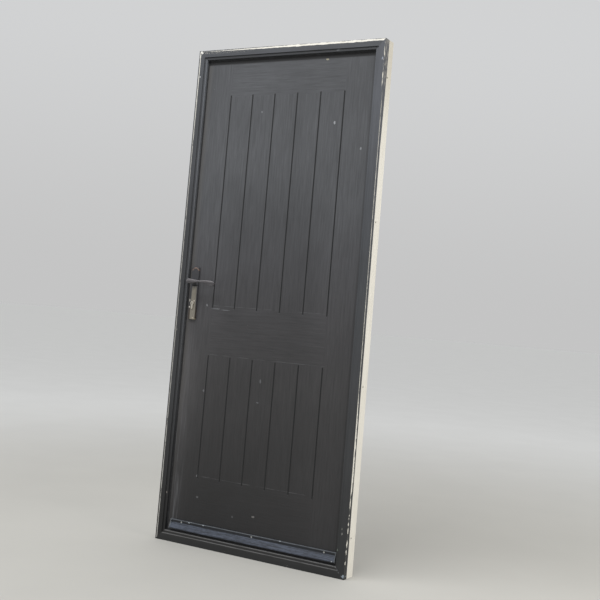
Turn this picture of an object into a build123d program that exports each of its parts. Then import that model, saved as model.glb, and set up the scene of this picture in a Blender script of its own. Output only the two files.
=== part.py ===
from build123d import *
import os
from math import sqrt

# A glass-fibre faced front door leaf in its mitred four-sided plastic frame, closed and unlocked.
# X runs to the right seen from outside, Y into the house, Z up.
# The origin is under the middle of the threshold, halfway through the frame's depth.

# Whole door set
set_width = 900.0
set_height = 2090.0
frame_depth = 70.0

# Frame section, measured from its outer edge towards the leaf and from its outside face inwards
sightline = 42.0
nib_height = 16.0
nib_depth = 14.5
face_width = 29.5
step_depth = 4.0
step_run = 1.0
nib_round = 2.0
edge_round = 0.8
frame_wall = 3.0
web_place = 14.5
rear_web_place = 51.0

# Gasket in the nib
gasket_groove_width = 3.0
gasket_groove_depth = 4.0
gasket_groove_inset = 4.5
gasket_stem_clearance = 0.1
gasket_show = 4.5
gasket_lip = 1.6
gasket_heel = 3.0
seal_gap = 3.5
gasket_leaf_clearance = 0.3

# Steel tube in the middle chamber
steel_wall = 1.5
steel_clearance = 0.3
steel_end_gap = 60.0

# Leaf
edge_gap = 5.0
leaf_thickness = 44.0
skin_thickness = 3.0
stile_width = 45.0
top_timber_height = 45.0
bottom_timber_height = 60.0

# Board grooves moulded into both skins
groove_count = 6
groove_pitch = 110.0
groove_width = 7.0
groove_depth = 2.2
bottom_rail_face = 243.0
lower_board_length = 506.0
middle_rail_face = 205.0
top_rail_face = 170.0

# Weather bar
bar_lock_side_gap = 20.0
bar_hinge_side_gap = 6.0
bar_height = 37.0
bar_lift = 23.0
bar_bead = 6.0
bar_bead_height = 4.0
bar_bead_round = 1.3
bar_flange = 3.0
bar_flange_height = 13.0
bar_reach = 14.0
bar_sheet = 2.5
bar_drip = 4.0
bar_cap_thickness = 2.0
bar_screw_inset = 54.0
bar_middle_screw_shift = 8.0

# Handles
spindle_height = 1088.0
backset = 45.0
cylinder_drop = 92.0
plate_width = 36.0
plate_height = 222.0
plate_rise = 61.0
plate_thickness = 9.0
plate_corner = 5.0
plate_edge = 2.5
neck_radius = 9.0
lever_stand_off = 34.0
lever_thickness = 12.0
lever_length = 128.0
lever_root_height = 20.0
lever_neck_height = 11.0
lever_tip_drop = 15.0
lever_return = 8.0
lever_edge = 2.0
spindle_side = 8.0
spindle_clearance = 0.1
grub_radius = 2.0
grub_inset = 7.0
bolt_radius = 2.5
bolt_head_radius = 4.5
bolt_head_height = 3.0
bolt_end_distance = 12.0
bolt_thread_depth = 4.0
bolt_clearance = 0.3

# Running clearances
turning_clearance = 0.05
sliding_clearance = 0.3

# Lock
faceplate_width = 20.0
faceplate_thickness = 3.0
faceplate_overrun = 40.0
faceplate_screw_edge = 15.0
rail_width = 16.0
rail_thickness = 2.0
rail_travel = 20.0
rail_overrun = 10.0
case_thickness = 15.0
case_depth = 62.0
case_rise = 45.0
case_drop = 42.0
hub_radius = 10.0
latch_height = 14.0
latch_thickness = 11.0
latch_length = 26.0
latch_nose = 2.8
latch_throw = 12.0
latch_rise = 22.0
deadbolt_height = 20.0
deadbolt_thickness = 10.0
deadbolt_length = 34.0
deadbolt_throw = 20.0
deadbolt_rise = 36.0

# Hooks, measured from their pivots
hook_end_distance = 280.0
hook_pivot_depth = 23.0
hook_reach = 36.0
hook_beak = 16.0
hook_beak_width = 7.0
hook_half_height = 6.0
hook_thickness = 8.0
hook_heel_round = 5.0
hook_pin_radius = 3.5
hook_swing_clearance = 0.9
hook_case_depth = 37.0
hook_case_wall = 3.0

# Keeps on the rebate floor
keep_width = 24.0
keep_thickness = 2.5
keep_margin = 30.0
keep_screw_inset = 10.0
keep_pocket_clearance = 1.2
keep_pocket_width = 16.0

# Lock cylinder
cylinder_radius = 8.5
cylinder_stem_width = 10.0
cylinder_stem_drop = 24.5
cylinder_length = 70.0
plug_radius = 6.5
cam_reach = 15.0
cam_width = 9.4
cam_tooth_width = 6.0
cam_clearance = 0.6
keyway_width = 2.2
keyway_height = 8.0
keyway_depth = 17.5
cylinder_screw_radius = 2.4
cylinder_screw_drop = 20.0

# Hinges
hinge_end_distance = 220.0
hinge_height = 100.0
hinge_middle_height = 40.0
hinge_pin_radius = 4.0
knuckle_radius = 8.0
knuckle_stand_off = 9.0
knuckle_gap = 0.3
hinge_frame_plate = 3.5
hinge_frame_edge = 2.0
hinge_leaf_plate = 4.0
hinge_leaf_width = 45.0
hinge_screw_inset = 11.0
hinge_screw_rise = 35.0
hinge_web_reach = 4.0
hinge_plate_clearance = 7.5
hinge_pin_head_radius = 6.5
hinge_pin_head_height = 3.0

# Countersunk screws
screw_head_radius = 3.6
screw_shank_radius = 1.8
screw_length = 24.0
screw_clearance = 0.15
keep_screw_length = 12.0
faceplate_screw_length = 28.0

# Fixing holes through the jambs
fixing_radius = 4.0
fixing_end_distance = 150.0
fixing_middle_spacing = 640.0

# Planes and faces worked out from the sizes above
outside_face = -frame_depth / 2
inside_face = frame_depth / 2
rebate_floor = sightline - nib_height
leaf_inset = rebate_floor + edge_gap
leaf_front = outside_face + nib_depth + seal_gap
leaf_back = leaf_front + leaf_thickness
leaf_middle = (leaf_front + leaf_back) / 2
leaf_left = leaf_inset - set_width / 2
leaf_right = set_width / 2 - leaf_inset
leaf_bottom = leaf_inset
leaf_top = set_height - leaf_inset
core_front = leaf_front + skin_thickness
core_back = leaf_back - skin_thickness
core_thickness = core_back - core_front
rebate_left = rebate_floor - set_width / 2
lock_x = leaf_left + backset
cylinder_height = spindle_height - cylinder_drop
rail_front = leaf_left + faceplate_thickness + sliding_clearance
case_front = rail_front + rail_thickness + sliding_clearance
latch_z = spindle_height + latch_rise
deadbolt_z = cylinder_height + deadbolt_rise
case_top = spindle_height + case_rise
case_bottom = cylinder_height - case_drop
hook_x = leaf_left + hook_pivot_depth
hook_heights = (leaf_bottom + hook_end_distance, leaf_top - hook_end_distance)
hook_case_back = case_front + hook_case_depth
hook_sweep = sqrt(hook_reach**2 + hook_beak**2)
rail_bottom = hook_heights[0] - hook_sweep - rail_travel - rail_overrun
rail_top = hook_heights[1] + hook_beak + rail_overrun
faceplate_bottom = rail_bottom - faceplate_overrun
faceplate_top = rail_top + rail_travel + faceplate_overrun
plate_top = spindle_height + plate_rise
plate_bottom = plate_top - plate_height
hinge_x = set_width / 2 - rebate_floor
hinge_y = inside_face + knuckle_stand_off
hinge_heights = (
    leaf_bottom + hinge_end_distance,
    (leaf_bottom + leaf_top) / 2,
    leaf_top - hinge_end_distance,
)
fixing_heights = (
    fixing_end_distance,
    set_height / 2 - fixing_middle_spacing / 2,
    set_height / 2 + fixing_middle_spacing / 2,
    set_height - fixing_end_distance,
)
groove_spans = (
    (leaf_bottom + bottom_rail_face, leaf_bottom + bottom_rail_face + lower_board_length),
    (
        leaf_bottom + bottom_rail_face + lower_board_length + middle_rail_face,
        leaf_top - top_rail_face,
    ),
)

os.makedirs("parts", exist_ok=True)


def save(part, label):
    part.label = label
    export_step(part, f"parts/{label}.step")


# A box between two corners, for use inside a part or a cutter
def block(x, y, z, mode=Mode.ADD):
    with Locations(((x[0] + x[1]) / 2, (y[0] + y[1]) / 2, (z[0] + z[1]) / 2)):
        Box(abs(x[1] - x[0]), abs(y[1] - y[0]), abs(z[1] - z[0]), mode=mode)


# A plane whose sketches face along Y, with x to the right and z up
def upright_at(x, y, z):
    return Plane(origin=(x, y, z), x_dir=(1, 0, 0), z_dir=(0, -1, 0))


# A round pin or hole along a given direction
def rod(start, direction, radius, length, mode=Mode.ADD):
    with Locations(Plane(origin=start, z_dir=direction)):
        Cylinder(radius, length, align=(Align.CENTER, Align.CENTER, Align.MIN), mode=mode)


# Frame section: x towards the leaf, y from the outside face inwards
def frame_section():
    with BuildSketch(Plane.XY) as section:
        with BuildLine():
            Polyline(
                (0, 0),
                (face_width, 0),
                (face_width + step_run, step_depth),
                (sightline, step_depth),
                (sightline, nib_depth),
                (rebate_floor, nib_depth),
                (rebate_floor, frame_depth),
                (0, frame_depth),
                close=True,
            )
        make_face()
        fillet(section.vertices().group_by(Axis.X)[-1].sort_by(Axis.Y)[0], nib_round)
        fillet(section.vertices().group_by(Axis.X)[0].sort_by(Axis.Y)[0], edge_round)
        groove_x = sightline - gasket_groove_inset - gasket_groove_width / 2
        with Locations((groove_x, nib_depth - gasket_groove_depth / 2)):
            Rectangle(gasket_groove_width, gasket_groove_depth, mode=Mode.SUBTRACT)
        chamber_right = rebate_floor - frame_wall
        spans = (
            (frame_wall, web_place - frame_wall, face_width - frame_wall),
            (web_place, rear_web_place, chamber_right),
            (rear_web_place + frame_wall, frame_depth - frame_wall, chamber_right),
        )
        for low, high, right in spans:
            with Locations(((frame_wall + right) / 2, (low + high) / 2)):
                Rectangle(right - frame_wall, high - low, mode=Mode.SUBTRACT)
    return section.sketch


# Gasket section in the same axes: a stem in the groove and a lip that shows past the nib
def gasket_section():
    groove_right = sightline - gasket_groove_inset
    groove_left = groove_right - gasket_groove_width
    stem_left = groove_left + gasket_stem_clearance
    stem_right = groove_right - gasket_stem_clearance
    stem_end = nib_depth - gasket_groove_depth + gasket_stem_clearance
    tip = sightline + gasket_show
    sealing_face = nib_depth + seal_gap - gasket_leaf_clearance
    with BuildSketch(Plane.XY) as section:
        with BuildLine():
            Polyline(
                (groove_left - gasket_heel, nib_depth),
                (stem_left, nib_depth),
                (stem_left, stem_end),
                (stem_right, stem_end),
                (stem_right, nib_depth),
                (sightline, nib_depth),
                (tip, sealing_face - gasket_lip),
                (tip, sealing_face),
                (groove_left - gasket_heel, sealing_face),
                close=True,
            )
        make_face()
    return section.sketch


# Steel tube section in the same axes
def steel_section():
    left = frame_wall + steel_clearance
    right = rebate_floor - frame_wall - steel_clearance
    low = web_place + steel_clearance
    high = rear_web_place - steel_clearance
    with BuildSketch(Plane.XY) as section:
        with Locations(((left + right) / 2, (low + high) / 2)):
            Rectangle(right - left, high - low)
            Rectangle(right - left - 2 * steel_wall, high - low - 2 * steel_wall, mode=Mode.SUBTRACT)
    return section.sketch


# One plane for each side of the frame: origin on its outer edge, x towards the leaf, z along it
frame_sides = {
    "head": (Plane(origin=(0, outside_face, set_height), x_dir=(0, 0, -1), z_dir=(1, 0, 0)), set_width),
    "lock_jamb": (
        Plane(origin=(-set_width / 2, outside_face, set_height / 2), x_dir=(1, 0, 0), z_dir=(0, 0, 1)),
        set_height,
    ),
    "hinge_jamb": (
        Plane(origin=(set_width / 2, outside_face, set_height / 2), x_dir=(-1, 0, 0), z_dir=(0, 0, -1)),
        set_height,
    ),
    "threshold": (Plane(origin=(0, outside_face, 0), x_dir=(0, 0, 1), z_dir=(-1, 0, 0)), set_width),
}


# A length of a section cut to a mitre at both ends
def mitred_length(section, plane, length):
    with BuildPart() as member:
        with BuildSketch(plane):
            add(section)
        extrude(amount=length / 2, both=True)
        for end in (1, -1):
            corner = plane.from_local_coords((0, 0, end * length / 2))
            split(
                bisect_by=Plane(origin=corner, z_dir=plane.x_dir + plane.z_dir * end),
                keep=Keep.BOTTOM,
            )
    return member.part


# Hook outline in the swung-out position, placed by its pivot
def hook_outline(clearance):
    with BuildSketch(Plane.XY) as outline:
        with BuildLine():
            Polyline(
                (hook_half_height + clearance, -hook_half_height - clearance),
                (hook_half_height + clearance, hook_half_height + clearance),
                (-hook_reach + hook_beak_width + clearance, hook_half_height + clearance),
                (-hook_reach + hook_beak_width + clearance, hook_beak + clearance),
                (-hook_reach - clearance, hook_beak + clearance),
                (-hook_reach - clearance, -hook_half_height - clearance),
                close=True,
            )
        make_face()
        low_left = outline.vertices().group_by(Axis.X)[0].group_by(Axis.Y)[0]
        fillet(low_left, hook_half_height)
        fillet(outline.vertices().group_by(Axis.X)[-1], hook_heel_round)
    return outline.sketch


# How far above or below its pivot the hook's swing crosses a plane at this distance
def hook_crossing(distance):
    return sqrt(hook_sweep**2 - distance**2)


# Euro profile outline around the cylinder's axis, grown by a clearance
def cylinder_outline(clearance):
    with BuildSketch(Plane.XY) as outline:
        Circle(cylinder_radius + clearance)
        stem_centre = -(cylinder_stem_drop - cylinder_stem_width / 2)
        with Locations((0, stem_centre / 2)):
            Rectangle(cylinder_stem_width + 2 * clearance, -stem_centre)
        with Locations((0, stem_centre)):
            Circle(cylinder_stem_width / 2 + clearance)
    return outline.sketch


# Everything that is taken out of the frame's lock side for the bolts and hooks
pocket_y = (leaf_middle - keep_pocket_width / 2, leaf_middle + keep_pocket_width / 2)
with BuildPart() as frame_pockets:
    for height in hook_heights:
        block(
            (hook_x - hook_sweep - keep_pocket_clearance, rebate_left + 1),
            pocket_y,
            (
                height - hook_crossing(hook_x - rebate_left) - keep_pocket_clearance,
                height + hook_beak + keep_pocket_clearance,
            ),
        )
    block(
        (leaf_left - latch_throw - keep_pocket_clearance, rebate_left + 1),
        pocket_y,
        (
            latch_z - latch_height / 2 - keep_pocket_clearance,
            latch_z + latch_height / 2 + keep_pocket_clearance,
        ),
    )
    block(
        (leaf_left - deadbolt_throw - keep_pocket_clearance, rebate_left + 1),
        pocket_y,
        (
            deadbolt_z - deadbolt_height / 2 - keep_pocket_clearance,
            deadbolt_z + deadbolt_height / 2 + keep_pocket_clearance,
        ),
    )

# Keeps: their slots, their spans and their screws
hook_slot_low = -hook_crossing(hook_x - rebate_left - keep_thickness) - keep_pocket_clearance
hook_slot_high = hook_half_height + keep_pocket_clearance
hook_keep_span = (-hook_crossing(hook_x - rebate_left) - keep_margin, hook_beak + keep_margin)
centre_keep_span = (
    deadbolt_z - deadbolt_height / 2 - keep_margin,
    latch_z + latch_height / 2 + keep_margin,
)
keep_spans = {
    "bottom_hook_keep": tuple(hook_heights[0] + end for end in hook_keep_span),
    "centre_keep": centre_keep_span,
    "top_hook_keep": tuple(hook_heights[1] + end for end in hook_keep_span),
}
keep_slots = {
    "bottom_hook_keep": ((hook_heights[0] + hook_slot_low, hook_heights[0] + hook_slot_high, hook_thickness),),
    "centre_keep": (
        (
            deadbolt_z - deadbolt_height / 2 - keep_pocket_clearance,
            deadbolt_z + deadbolt_height / 2 + keep_pocket_clearance,
            deadbolt_thickness,
        ),
        (
            latch_z - latch_height / 2 - keep_pocket_clearance,
            latch_z + latch_height / 2 + keep_pocket_clearance,
            latch_thickness,
        ),
    ),
    "top_hook_keep": ((hook_heights[1] + hook_slot_low, hook_heights[1] + hook_slot_high, hook_thickness),),
}
keep_face = rebate_left + keep_thickness
keep_screw_places = [
    (keep_face, leaf_middle, end)
    for low, high in keep_spans.values()
    for end in (low + keep_screw_inset, high - keep_screw_inset)
]


# A countersunk screw whose head is flush with the face at start
def screw(start, direction, length, clearance=0.0, mode=Mode.ADD):
    with Locations(Plane(origin=start, z_dir=direction)):
        Cone(
            screw_head_radius + clearance,
            screw_shank_radius + clearance,
            screw_head_radius - screw_shank_radius,
            align=(Align.CENTER, Align.CENTER, Align.MIN),
            mode=mode,
        )
    rod(start, direction, screw_shank_radius + clearance, length + clearance, mode)


for label, (low, high) in keep_spans.items():
    with BuildPart() as keep:
        block(
            (rebate_left, keep_face),
            (leaf_middle - keep_width / 2, leaf_middle + keep_width / 2),
            (low, high),
        )
        fillet(keep.edges().filter_by(Axis.X), keep_thickness)
        for slot_low, slot_high, bolt_thickness in keep_slots[label]:
            slot_half_width = bolt_thickness / 2 + keep_pocket_clearance
            block(
                (rebate_left - 1, keep_face + 1),
                (leaf_middle - slot_half_width, leaf_middle + slot_half_width),
                (slot_low, slot_high),
                mode=Mode.SUBTRACT,
            )
        for place in keep_screw_places:
            if low < place[2] < high:
                screw(place, (-1, 0, 0), keep_screw_length, screw_clearance, Mode.SUBTRACT)
    save(keep.part, label)

with BuildPart() as keep_screws:
    for place in keep_screw_places:
        screw(place, (-1, 0, 0), keep_screw_length)
save(keep_screws.part, "keep_screws")

# Hinge screws stand in the hinge plates' faces
hinge_frame_left = hinge_x + hinge_plate_clearance
hinge_frame_right = set_width / 2 - hinge_frame_edge
hinge_leaf_left = leaf_right - hinge_leaf_width
hinge_leaf_right = leaf_right - hinge_frame_edge
hinge_frame_screws = [
    ((hinge_frame_left + hinge_frame_right) / 2, inside_face + hinge_frame_plate, height + rise)
    for height in hinge_heights
    for rise in (-hinge_screw_rise, hinge_screw_rise)
]
hinge_leaf_screws = [
    (hinge_leaf_left + hinge_screw_inset, leaf_back + hinge_leaf_plate, height + rise)
    for height in hinge_heights
    for rise in (-hinge_screw_rise, 0, hinge_screw_rise)
]
inner_screw_heights = [
    hook_height + share * (case_end - hook_height)
    for hook_height, case_end in ((hook_heights[0], case_bottom), (hook_heights[1], case_top))
    for share in (0.25, 0.75)
]
leaf_side_screws = [
    (leaf_left, leaf_middle, height)
    for height in (
        faceplate_bottom + faceplate_screw_edge,
        *inner_screw_heights,
        faceplate_top - faceplate_screw_edge,
    )
]

# Holes for the fixings through both jambs
with BuildPart() as fixing_holes:
    for height in fixing_heights:
        rod((-set_width / 2 - 1, 0, height), (1, 0, 0), fixing_radius, set_width + 2)

with BuildPart() as jamb_screw_holes:
    for place in keep_screw_places:
        rod(place, (-1, 0, 0), screw_shank_radius + screw_clearance, keep_screw_length + screw_clearance)
    for place in hinge_frame_screws:
        rod(place, (0, -1, 0), screw_shank_radius + screw_clearance, screw_length + screw_clearance)

for side, (plane, length) in frame_sides.items():
    with BuildPart() as member:
        add(mitred_length(frame_section(), plane, length))
        if side.endswith("jamb"):
            add(fixing_holes.part, mode=Mode.SUBTRACT)
            add(jamb_screw_holes.part, mode=Mode.SUBTRACT)
        if side == "lock_jamb":
            add(frame_pockets.part, mode=Mode.SUBTRACT)
    save(member.part, f"frame_{side}")

    save(mitred_length(gasket_section(), plane, length), f"gasket_{side}")

    with BuildPart() as steel:
        with BuildSketch(plane):
            add(steel_section())
        extrude(amount=length / 2 - steel_end_gap, both=True)
        if side.endswith("jamb"):
            add(fixing_holes.part, mode=Mode.SUBTRACT)
            add(jamb_screw_holes.part, mode=Mode.SUBTRACT)
        if side == "lock_jamb":
            add(frame_pockets.part, mode=Mode.SUBTRACT)
    save(steel.part, f"steel_{side}")

# Skins with board grooves that end in a cone where the moulding runs out
def skin(inner_y, outer_y, outward):
    with BuildPart() as sheet:
        block((leaf_left, leaf_right), (inner_y, outer_y), (leaf_bottom, leaf_top))
        first = -(groove_count - 1) / 2 * groove_pitch
        for low, high in groove_spans:
            for number in range(groove_count):
                x = first + number * groove_pitch
                with BuildSketch(Plane.XY.offset(low)):
                    with BuildLine():
                        Polyline(
                            (x - groove_width / 2, outer_y),
                            (x, outer_y - outward * groove_depth),
                            (x + groove_width / 2, outer_y),
                            close=True,
                        )
                    make_face()
                extrude(amount=high - low, mode=Mode.SUBTRACT)
                for end in (low, high):
                    with Locations(Plane(origin=(x, outer_y, end), z_dir=(0, -outward, 0))):
                        Cone(
                            groove_width / 2,
                            0,
                            groove_depth,
                            align=(Align.CENTER, Align.CENTER, Align.MIN),
                            mode=Mode.SUBTRACT,
                        )
    return sheet.part


# Everything that the lock and the handles need out of the leaf
with BuildPart() as lock_mortices:
    half_face = faceplate_width / 2 + screw_clearance
    block(
        (leaf_left - 1, leaf_left + faceplate_thickness),
        (leaf_middle - half_face, leaf_middle + half_face),
        (faceplate_bottom - screw_clearance, faceplate_top + screw_clearance),
    )
    half_rail = rail_width / 2 + sliding_clearance
    block(
        (leaf_left, case_front),
        (leaf_middle - half_rail, leaf_middle + half_rail),
        (rail_bottom - sliding_clearance, rail_top + rail_travel + sliding_clearance),
    )
    half_case = case_thickness / 2 + screw_clearance
    block(
        (leaf_left, case_front + case_depth + screw_clearance),
        (leaf_middle - half_case, leaf_middle + half_case),
        (case_bottom - screw_clearance, case_top + screw_clearance),
    )
    for height in hook_heights:
        block(
            (leaf_left, hook_case_back + screw_clearance),
            (leaf_middle - half_case, leaf_middle + half_case),
            (
                height - hook_sweep - hook_case_wall - screw_clearance,
                height + hook_beak + screw_clearance,
            ),
        )
    rod((lock_x, leaf_front - 1, spindle_height), (0, 1, 0), hub_radius, leaf_thickness + 2)
    with BuildSketch(upright_at(lock_x, leaf_back + 1, cylinder_height)):
        add(cylinder_outline(sliding_clearance))
    extrude(amount=leaf_thickness + 2)
    for height in (plate_top - bolt_end_distance, plate_bottom + bolt_end_distance):
        rod((lock_x, leaf_front - 1, height), (0, 1, 0), bolt_radius + bolt_clearance, leaf_thickness + 2)
    side_screw_reach = faceplate_screw_length + screw_clearance
    for place in leaf_side_screws:
        rod(place, (1, 0, 0), screw_shank_radius + screw_clearance, side_screw_reach)

bar_bottom = leaf_bottom + bar_lift
bar_top = bar_bottom + bar_height
bar_left = sightline - set_width / 2 + bar_lock_side_gap
bar_right = set_width / 2 - sightline - bar_hinge_side_gap
bar_centre = (bar_left + bar_right) / 2
bar_face = leaf_front - bar_flange
bar_channel_middle = bar_top - bar_bead_height - (bar_flange_height - bar_bead_height) / 2
bar_screw_places = [
    (x, bar_face, bar_channel_middle)
    for x in (
        bar_left + bar_screw_inset,
        bar_centre + bar_middle_screw_shift,
        bar_right - bar_screw_inset,
    )
]

with BuildPart() as leaf_screw_holes:
    for place in bar_screw_places:
        rod(place, (0, 1, 0), screw_shank_radius + screw_clearance, screw_length + screw_clearance)
    for place in hinge_leaf_screws:
        rod(place, (0, -1, 0), screw_shank_radius + screw_clearance, screw_length + screw_clearance)


def leaf_piece(label, solid):
    with BuildPart() as piece:
        add(solid)
        add(lock_mortices.part, mode=Mode.SUBTRACT)
        add(leaf_screw_holes.part, mode=Mode.SUBTRACT)
    save(piece.part, label)


leaf_piece("outer_skin", skin(core_front, leaf_front, -1))
leaf_piece("inner_skin", skin(core_back, leaf_back, 1))
timbers = {
    "lock_stile": ((leaf_left, leaf_left + stile_width), (leaf_bottom, leaf_top)),
    "hinge_stile": ((leaf_right - stile_width, leaf_right), (leaf_bottom, leaf_top)),
    "top_timber": (
        (leaf_left + stile_width, leaf_right - stile_width),
        (leaf_top - top_timber_height, leaf_top),
    ),
    "bottom_timber": (
        (leaf_left + stile_width, leaf_right - stile_width),
        (leaf_bottom, leaf_bottom + bottom_timber_height),
    ),
    "foam_core": (
        (leaf_left + stile_width, leaf_right - stile_width),
        (leaf_bottom + bottom_timber_height, leaf_top - top_timber_height),
    ),
}
for label, (across, up) in timbers.items():
    with BuildPart() as timber:
        block(across, (core_front, core_back), up)
    leaf_piece(label, timber.part)


# Weather bar: a beaded flange with its screws, and an apron that sheds the rain
def bar_plane(x):
    return Plane(origin=(x, leaf_front, bar_bottom), x_dir=(0, -1, 0), z_dir=(-1, 0, 0))


with BuildPart() as weather_bar:
    with BuildSketch(bar_plane(bar_left + bar_cap_thickness)) as bar:
        with BuildLine():
            Polyline(
                (0, bar_height),
                (bar_bead, bar_height),
                (bar_bead, bar_height - bar_bead_height),
                (bar_flange, bar_height - bar_bead_height),
                (bar_flange, bar_height - bar_flange_height),
                (bar_reach, bar_drip),
                (bar_reach, 0),
                (bar_reach - bar_sheet, 0),
                (bar_reach - bar_sheet, bar_drip),
                (0, bar_height - bar_flange_height - bar_sheet),
                close=True,
            )
        make_face()
        fillet(bar.vertices().group_by(Axis.Y)[-1].sort_by(Axis.X)[-1], bar_bead_round)
    extrude(amount=bar_left - bar_right + 2 * bar_cap_thickness)
    for place in bar_screw_places:
        screw(place, (0, 1, 0), screw_length, screw_clearance, Mode.SUBTRACT)
save(weather_bar.part, "weather_bar")

with BuildPart() as bar_end_caps:
    for start in (bar_left, bar_right - bar_cap_thickness):
        with BuildSketch(bar_plane(start)):
            with BuildLine():
                Polyline(
                    (0, bar_height),
                    (bar_bead, bar_height),
                    (bar_bead, bar_height - bar_bead_height),
                    (bar_reach, bar_drip),
                    (bar_reach, 0),
                    (0, 0),
                    close=True,
                )
            make_face()
        extrude(amount=-bar_cap_thickness)
save(bar_end_caps.part, "bar_end_caps")

with BuildPart() as bar_screws:
    for place in bar_screw_places:
        screw(place, (0, 1, 0), screw_length)
save(bar_screws.part, "bar_screws")

# Lock faceplate with its openings, let into the leaf's edge
latch_slot = (latch_z - latch_height / 2 - sliding_clearance, latch_z + latch_height / 2 + sliding_clearance)
deadbolt_slot = (
    deadbolt_z - deadbolt_height / 2 - sliding_clearance,
    deadbolt_z + deadbolt_height / 2 + sliding_clearance,
)
leaf_hook_slot = (
    -hook_crossing(hook_pivot_depth - faceplate_thickness) - sliding_clearance,
    hook_half_height + keep_pocket_clearance,
)
cylinder_screw_z = cylinder_height - cylinder_screw_drop


def edge_slots(x, stretch):
    openings = (
        (latch_slot, latch_thickness),
        (deadbolt_slot, deadbolt_thickness),
        (tuple(hook_heights[0] + end for end in leaf_hook_slot), hook_thickness),
        (tuple(hook_heights[1] + end for end in leaf_hook_slot), hook_thickness),
    )
    for (low, high), thickness in openings:
        half = thickness / 2 + sliding_clearance
        block(x, (leaf_middle - half, leaf_middle + half), (low - stretch, high), mode=Mode.SUBTRACT)


with BuildPart() as faceplate:
    block(
        (leaf_left, leaf_left + faceplate_thickness),
        (leaf_middle - faceplate_width / 2, leaf_middle + faceplate_width / 2),
        (faceplate_bottom, faceplate_top),
    )
    edge_slots((leaf_left - 1, leaf_left + faceplate_thickness + 1), 0)
    for place in leaf_side_screws:
        screw(place, (1, 0, 0), faceplate_screw_length, screw_clearance, Mode.SUBTRACT)
    screw(
        (leaf_left, leaf_middle, cylinder_screw_z),
        (1, 0, 0),
        backset,
        screw_clearance + cylinder_screw_radius - screw_shank_radius,
        Mode.SUBTRACT,
    )
save(faceplate.part, "faceplate")

with BuildPart() as faceplate_screws:
    for place in leaf_side_screws:
        screw(place, (1, 0, 0), faceplate_screw_length)
save(faceplate_screws.part, "faceplate_screws")

# Drive rail: it slides up behind the faceplate and swings the hooks out
with BuildPart() as drive_rail:
    block(
        (rail_front, rail_front + rail_thickness),
        (leaf_middle - rail_width / 2, leaf_middle + rail_width / 2),
        (rail_bottom, rail_top),
    )
    rail_x = (rail_front - 1, rail_front + rail_thickness + 1)
    edge_slots(rail_x, rail_travel)
    screw_half = cylinder_screw_radius + sliding_clearance
    for height in (cylinder_screw_z, *inner_screw_heights):
        block(
            rail_x,
            (leaf_middle - screw_half, leaf_middle + screw_half),
            (height - screw_half - rail_travel, height + screw_half),
            mode=Mode.SUBTRACT,
        )
save(drive_rail.part, "drive_rail")

# Gearbox case with the channels that its bolts, hub and cam run in
with BuildPart() as gearbox_case:
    block(
        (case_front, case_front + case_depth),
        (leaf_middle - case_thickness / 2, leaf_middle + case_thickness / 2),
        (case_bottom, case_top),
    )
    fillet(gearbox_case.edges().filter_by(Axis.Y).group_by(Axis.X)[-1], hook_case_wall)
    half = latch_thickness / 2 + sliding_clearance
    block(
        (case_front - 1, leaf_left + latch_length + sliding_clearance),
        (leaf_middle - half, leaf_middle + half),
        latch_slot,
        mode=Mode.SUBTRACT,
    )
    half = deadbolt_thickness / 2 + sliding_clearance
    block(
        (case_front - 1, leaf_left + deadbolt_length + sliding_clearance),
        (leaf_middle - half, leaf_middle + half),
        deadbolt_slot,
        mode=Mode.SUBTRACT,
    )
    rod(
        (lock_x, leaf_middle - case_thickness, spindle_height),
        (0, 1, 0),
        hub_radius + turning_clearance,
        2 * case_thickness,
        Mode.SUBTRACT,
    )
    rod(
        (lock_x, leaf_middle - cam_width / 2 - cam_clearance, cylinder_height),
        (0, 1, 0),
        cam_reach + cam_clearance,
        cam_width + 2 * cam_clearance,
        Mode.SUBTRACT,
    )
    with BuildSketch(upright_at(lock_x, leaf_middle + case_thickness, cylinder_height)):
        add(cylinder_outline(sliding_clearance))
    extrude(amount=2 * case_thickness, mode=Mode.SUBTRACT)
    rod(
        (leaf_left, leaf_middle, cylinder_screw_z),
        (1, 0, 0),
        cylinder_screw_radius + screw_clearance,
        backset,
        Mode.SUBTRACT,
    )
save(gearbox_case.part, "gearbox_case")

# The follower hub turns in the case with the handles' spindle
with BuildPart() as follower_hub:
    rod((lock_x, leaf_middle - case_thickness / 2, spindle_height), (0, 1, 0), hub_radius, case_thickness)
    hub_side = spindle_side + 2 * spindle_clearance
    block(
        (lock_x - hub_side / 2, lock_x + hub_side / 2),
        (leaf_middle - case_thickness, leaf_middle + case_thickness),
        (spindle_height - hub_side / 2, spindle_height + hub_side / 2),
        mode=Mode.SUBTRACT,
    )
save(follower_hub.part, "follower_hub")

# Latch bolt, held back level with the faceplate, with its slope towards the outside
with BuildPart() as latch_bolt:
    with BuildSketch(Plane.XY.offset(latch_z - latch_height / 2)):
        with BuildLine():
            Polyline(
                (leaf_left, leaf_middle + latch_thickness / 2),
                (leaf_left, leaf_middle + latch_thickness / 2 - latch_nose),
                (leaf_left + latch_throw - faceplate_thickness, leaf_middle - latch_thickness / 2),
                (leaf_left + latch_length, leaf_middle - latch_thickness / 2),
                (leaf_left + latch_length, leaf_middle + latch_thickness / 2),
                close=True,
            )
        make_face()
    extrude(amount=latch_height)
save(latch_bolt.part, "latch_bolt")

with BuildPart() as deadbolt:
    block(
        (leaf_left, leaf_left + deadbolt_length),
        (leaf_middle - deadbolt_thickness / 2, leaf_middle + deadbolt_thickness / 2),
        (deadbolt_z - deadbolt_height / 2, deadbolt_z + deadbolt_height / 2),
    )
    fillet(deadbolt.edges().filter_by(Axis.X), edge_round)
save(deadbolt.part, "deadbolt")

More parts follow.
